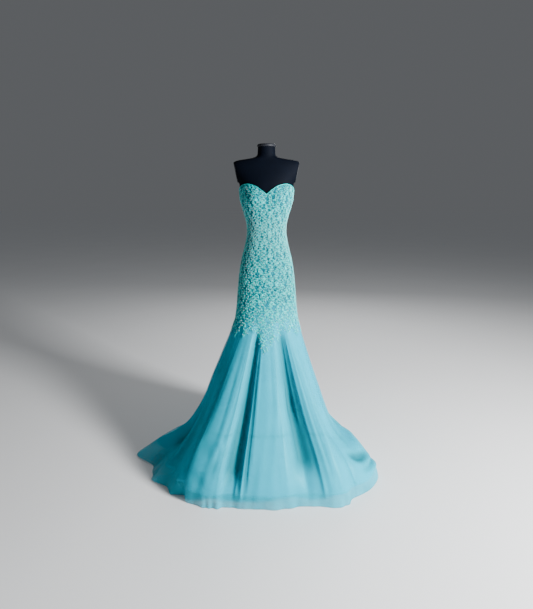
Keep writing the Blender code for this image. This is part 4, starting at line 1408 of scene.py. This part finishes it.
# Lights of the stage: where each stands, its power in watts and its size
Lamp = namedtuple("Lamp", "name place watts size")
LAMPS = (
    Lamp("key", (2.7, -2.1, 1.8), 400, 0.7),
    Lamp("fill", (-2.8, -2.2, 1.6), 3, 2.4),
    Lamp("back", (0.6, 2.8, 2.6), 40, 1.8),
)
LAMP_AIM = Vector((0.0, -0.1, 0.75))
GLOW_STRENGTH = 0.17
GLOW = (0.80, 0.83, 0.87, 1)
BACKDROP = (0.652, 0.682, 0.722, 1)
FLOOR_HALF = 60.0

# The photo's camera: its place, and its focal length and horizon in pixels of the photo
CAMERA_PLACE = (0.0, -2.45, 1.35)
FOCAL_PIXELS = 445.0
HORIZON_PIXEL = 201.9
SENSOR = 36.0


class GOWN_OT_stage(Operator):
    """Set the pale floor, the soft lights and the camera"""
    bl_idname = "gown.stage"
    bl_label = "Set stage"

    def execute(self, context):
        scene = context.scene
        bm = bmesh.new()
        bmesh.ops.create_grid(bm, x_segments=1, y_segments=1, size=FLOOR_HALF)
        mesh = bpy.data.meshes.new("floor")
        bm.to_mesh(mesh)
        bm.free()
        floor = bpy.data.objects.new("floor", mesh)
        scene.collection.objects.link(floor)
        nodes, shader, place, material = new_material("Pale floor")
        tone = nodes.grouped("Cloth tone", Vector=place.outputs["Object"], Scale=1.2)
        colour = nodes.mix(tone, (0.80, 0.81, 0.82, 1), (0.82, 0.83, 0.84, 1))
        nodes.set(shader, {"Base Color": colour, "Roughness": 0.8, "Specular IOR Level": 0.0})
        mesh.materials.append(material)

        world = bpy.data.worlds.new("Studio")
        world.use_nodes = True
        sky = Nodes(world.node_tree)
        seen = sky.add("ShaderNodeLightPath").outputs["Is Camera Ray"]
        sky.set(world.node_tree.nodes["Background"], {"Color": sky.mix(seen, GLOW, BACKDROP),
                                                      "Strength": GLOW_STRENGTH})
        scene.world = world
        for lamp in LAMPS:
            light = bpy.data.lights.new(lamp.name, "AREA")
            light.energy = lamp.watts
            light.size = lamp.size
            stand = bpy.data.objects.new(lamp.name, light)
            stand.location = lamp.place
            aim = LAMP_AIM - Vector(lamp.place)
            stand.rotation_euler = aim.to_track_quat("-Z", "Y").to_euler()
            scene.collection.objects.link(stand)

        camera = bpy.data.cameras.new("camera")
        camera.sensor_width = SENSOR
        camera.lens = SENSOR * FOCAL_PIXELS / IMAGE_HEIGHT
        camera.shift_y = (HORIZON_PIXEL - IMAGE_HEIGHT / 2) / IMAGE_HEIGHT
        view = bpy.data.objects.new("camera", camera)
        view.location = CAMERA_PLACE
        view.rotation_euler = (math.radians(90), 0, 0)
        scene.collection.objects.link(view)
        scene.camera = view
        return {"FINISHED"}


class GOWN_PT_panel(Panel):
    """Sizes, colours and the steps that dress the gown"""
    bl_idname = "GOWN_PT_panel"
    bl_label = "Mermaid gown"
    bl_space_type = "VIEW_3D"
    bl_region_type = "UI"
    bl_category = "Gown"

    def draw(self, context):
        layout = self.layout
        for settings in (context.scene.gown_colours, context.scene.gown_sizes):
            for name in settings.__annotations__:
                layout.prop(settings, name)
        for operator in OPERATORS:
            layout.operator(operator.bl_idname)


OPERATORS = (GOWN_OT_materials, GOWN_OT_form, GOWN_OT_sheath, GOWN_OT_lace, GOWN_OT_border,
             GOWN_OT_satin, GOWN_OT_flounce_seam, GOWN_OT_tulle, GOWN_OT_zip, GOWN_OT_stage)
CLASSES = (GownColours, GownSizes) + OPERATORS + (GOWN_PT_panel,)


def register():
    for kind in CLASSES:
        bpy.utils.register_class(kind)
    bpy.types.Scene.gown_colours = PointerProperty(type=GownColours)
    bpy.types.Scene.gown_sizes = PointerProperty(type=GownSizes)


def unregister():
    del bpy.types.Scene.gown_sizes
    del bpy.types.Scene.gown_colours
    for kind in reversed(CLASSES):
        bpy.utils.unregister_class(kind)


def main():
    register()
    bpy.ops.gown.materials()
    bpy.ops.gown.form()
    bpy.ops.gown.sheath()
    bpy.ops.gown.lace()
    bpy.ops.gown.border()
    bpy.ops.gown.satin()
    bpy.ops.gown.flounce_seam()
    bpy.ops.gown.tulle()
    bpy.ops.gown.zip()
    bpy.ops.gown.stage()


if __name__ == "__main__":
    main()
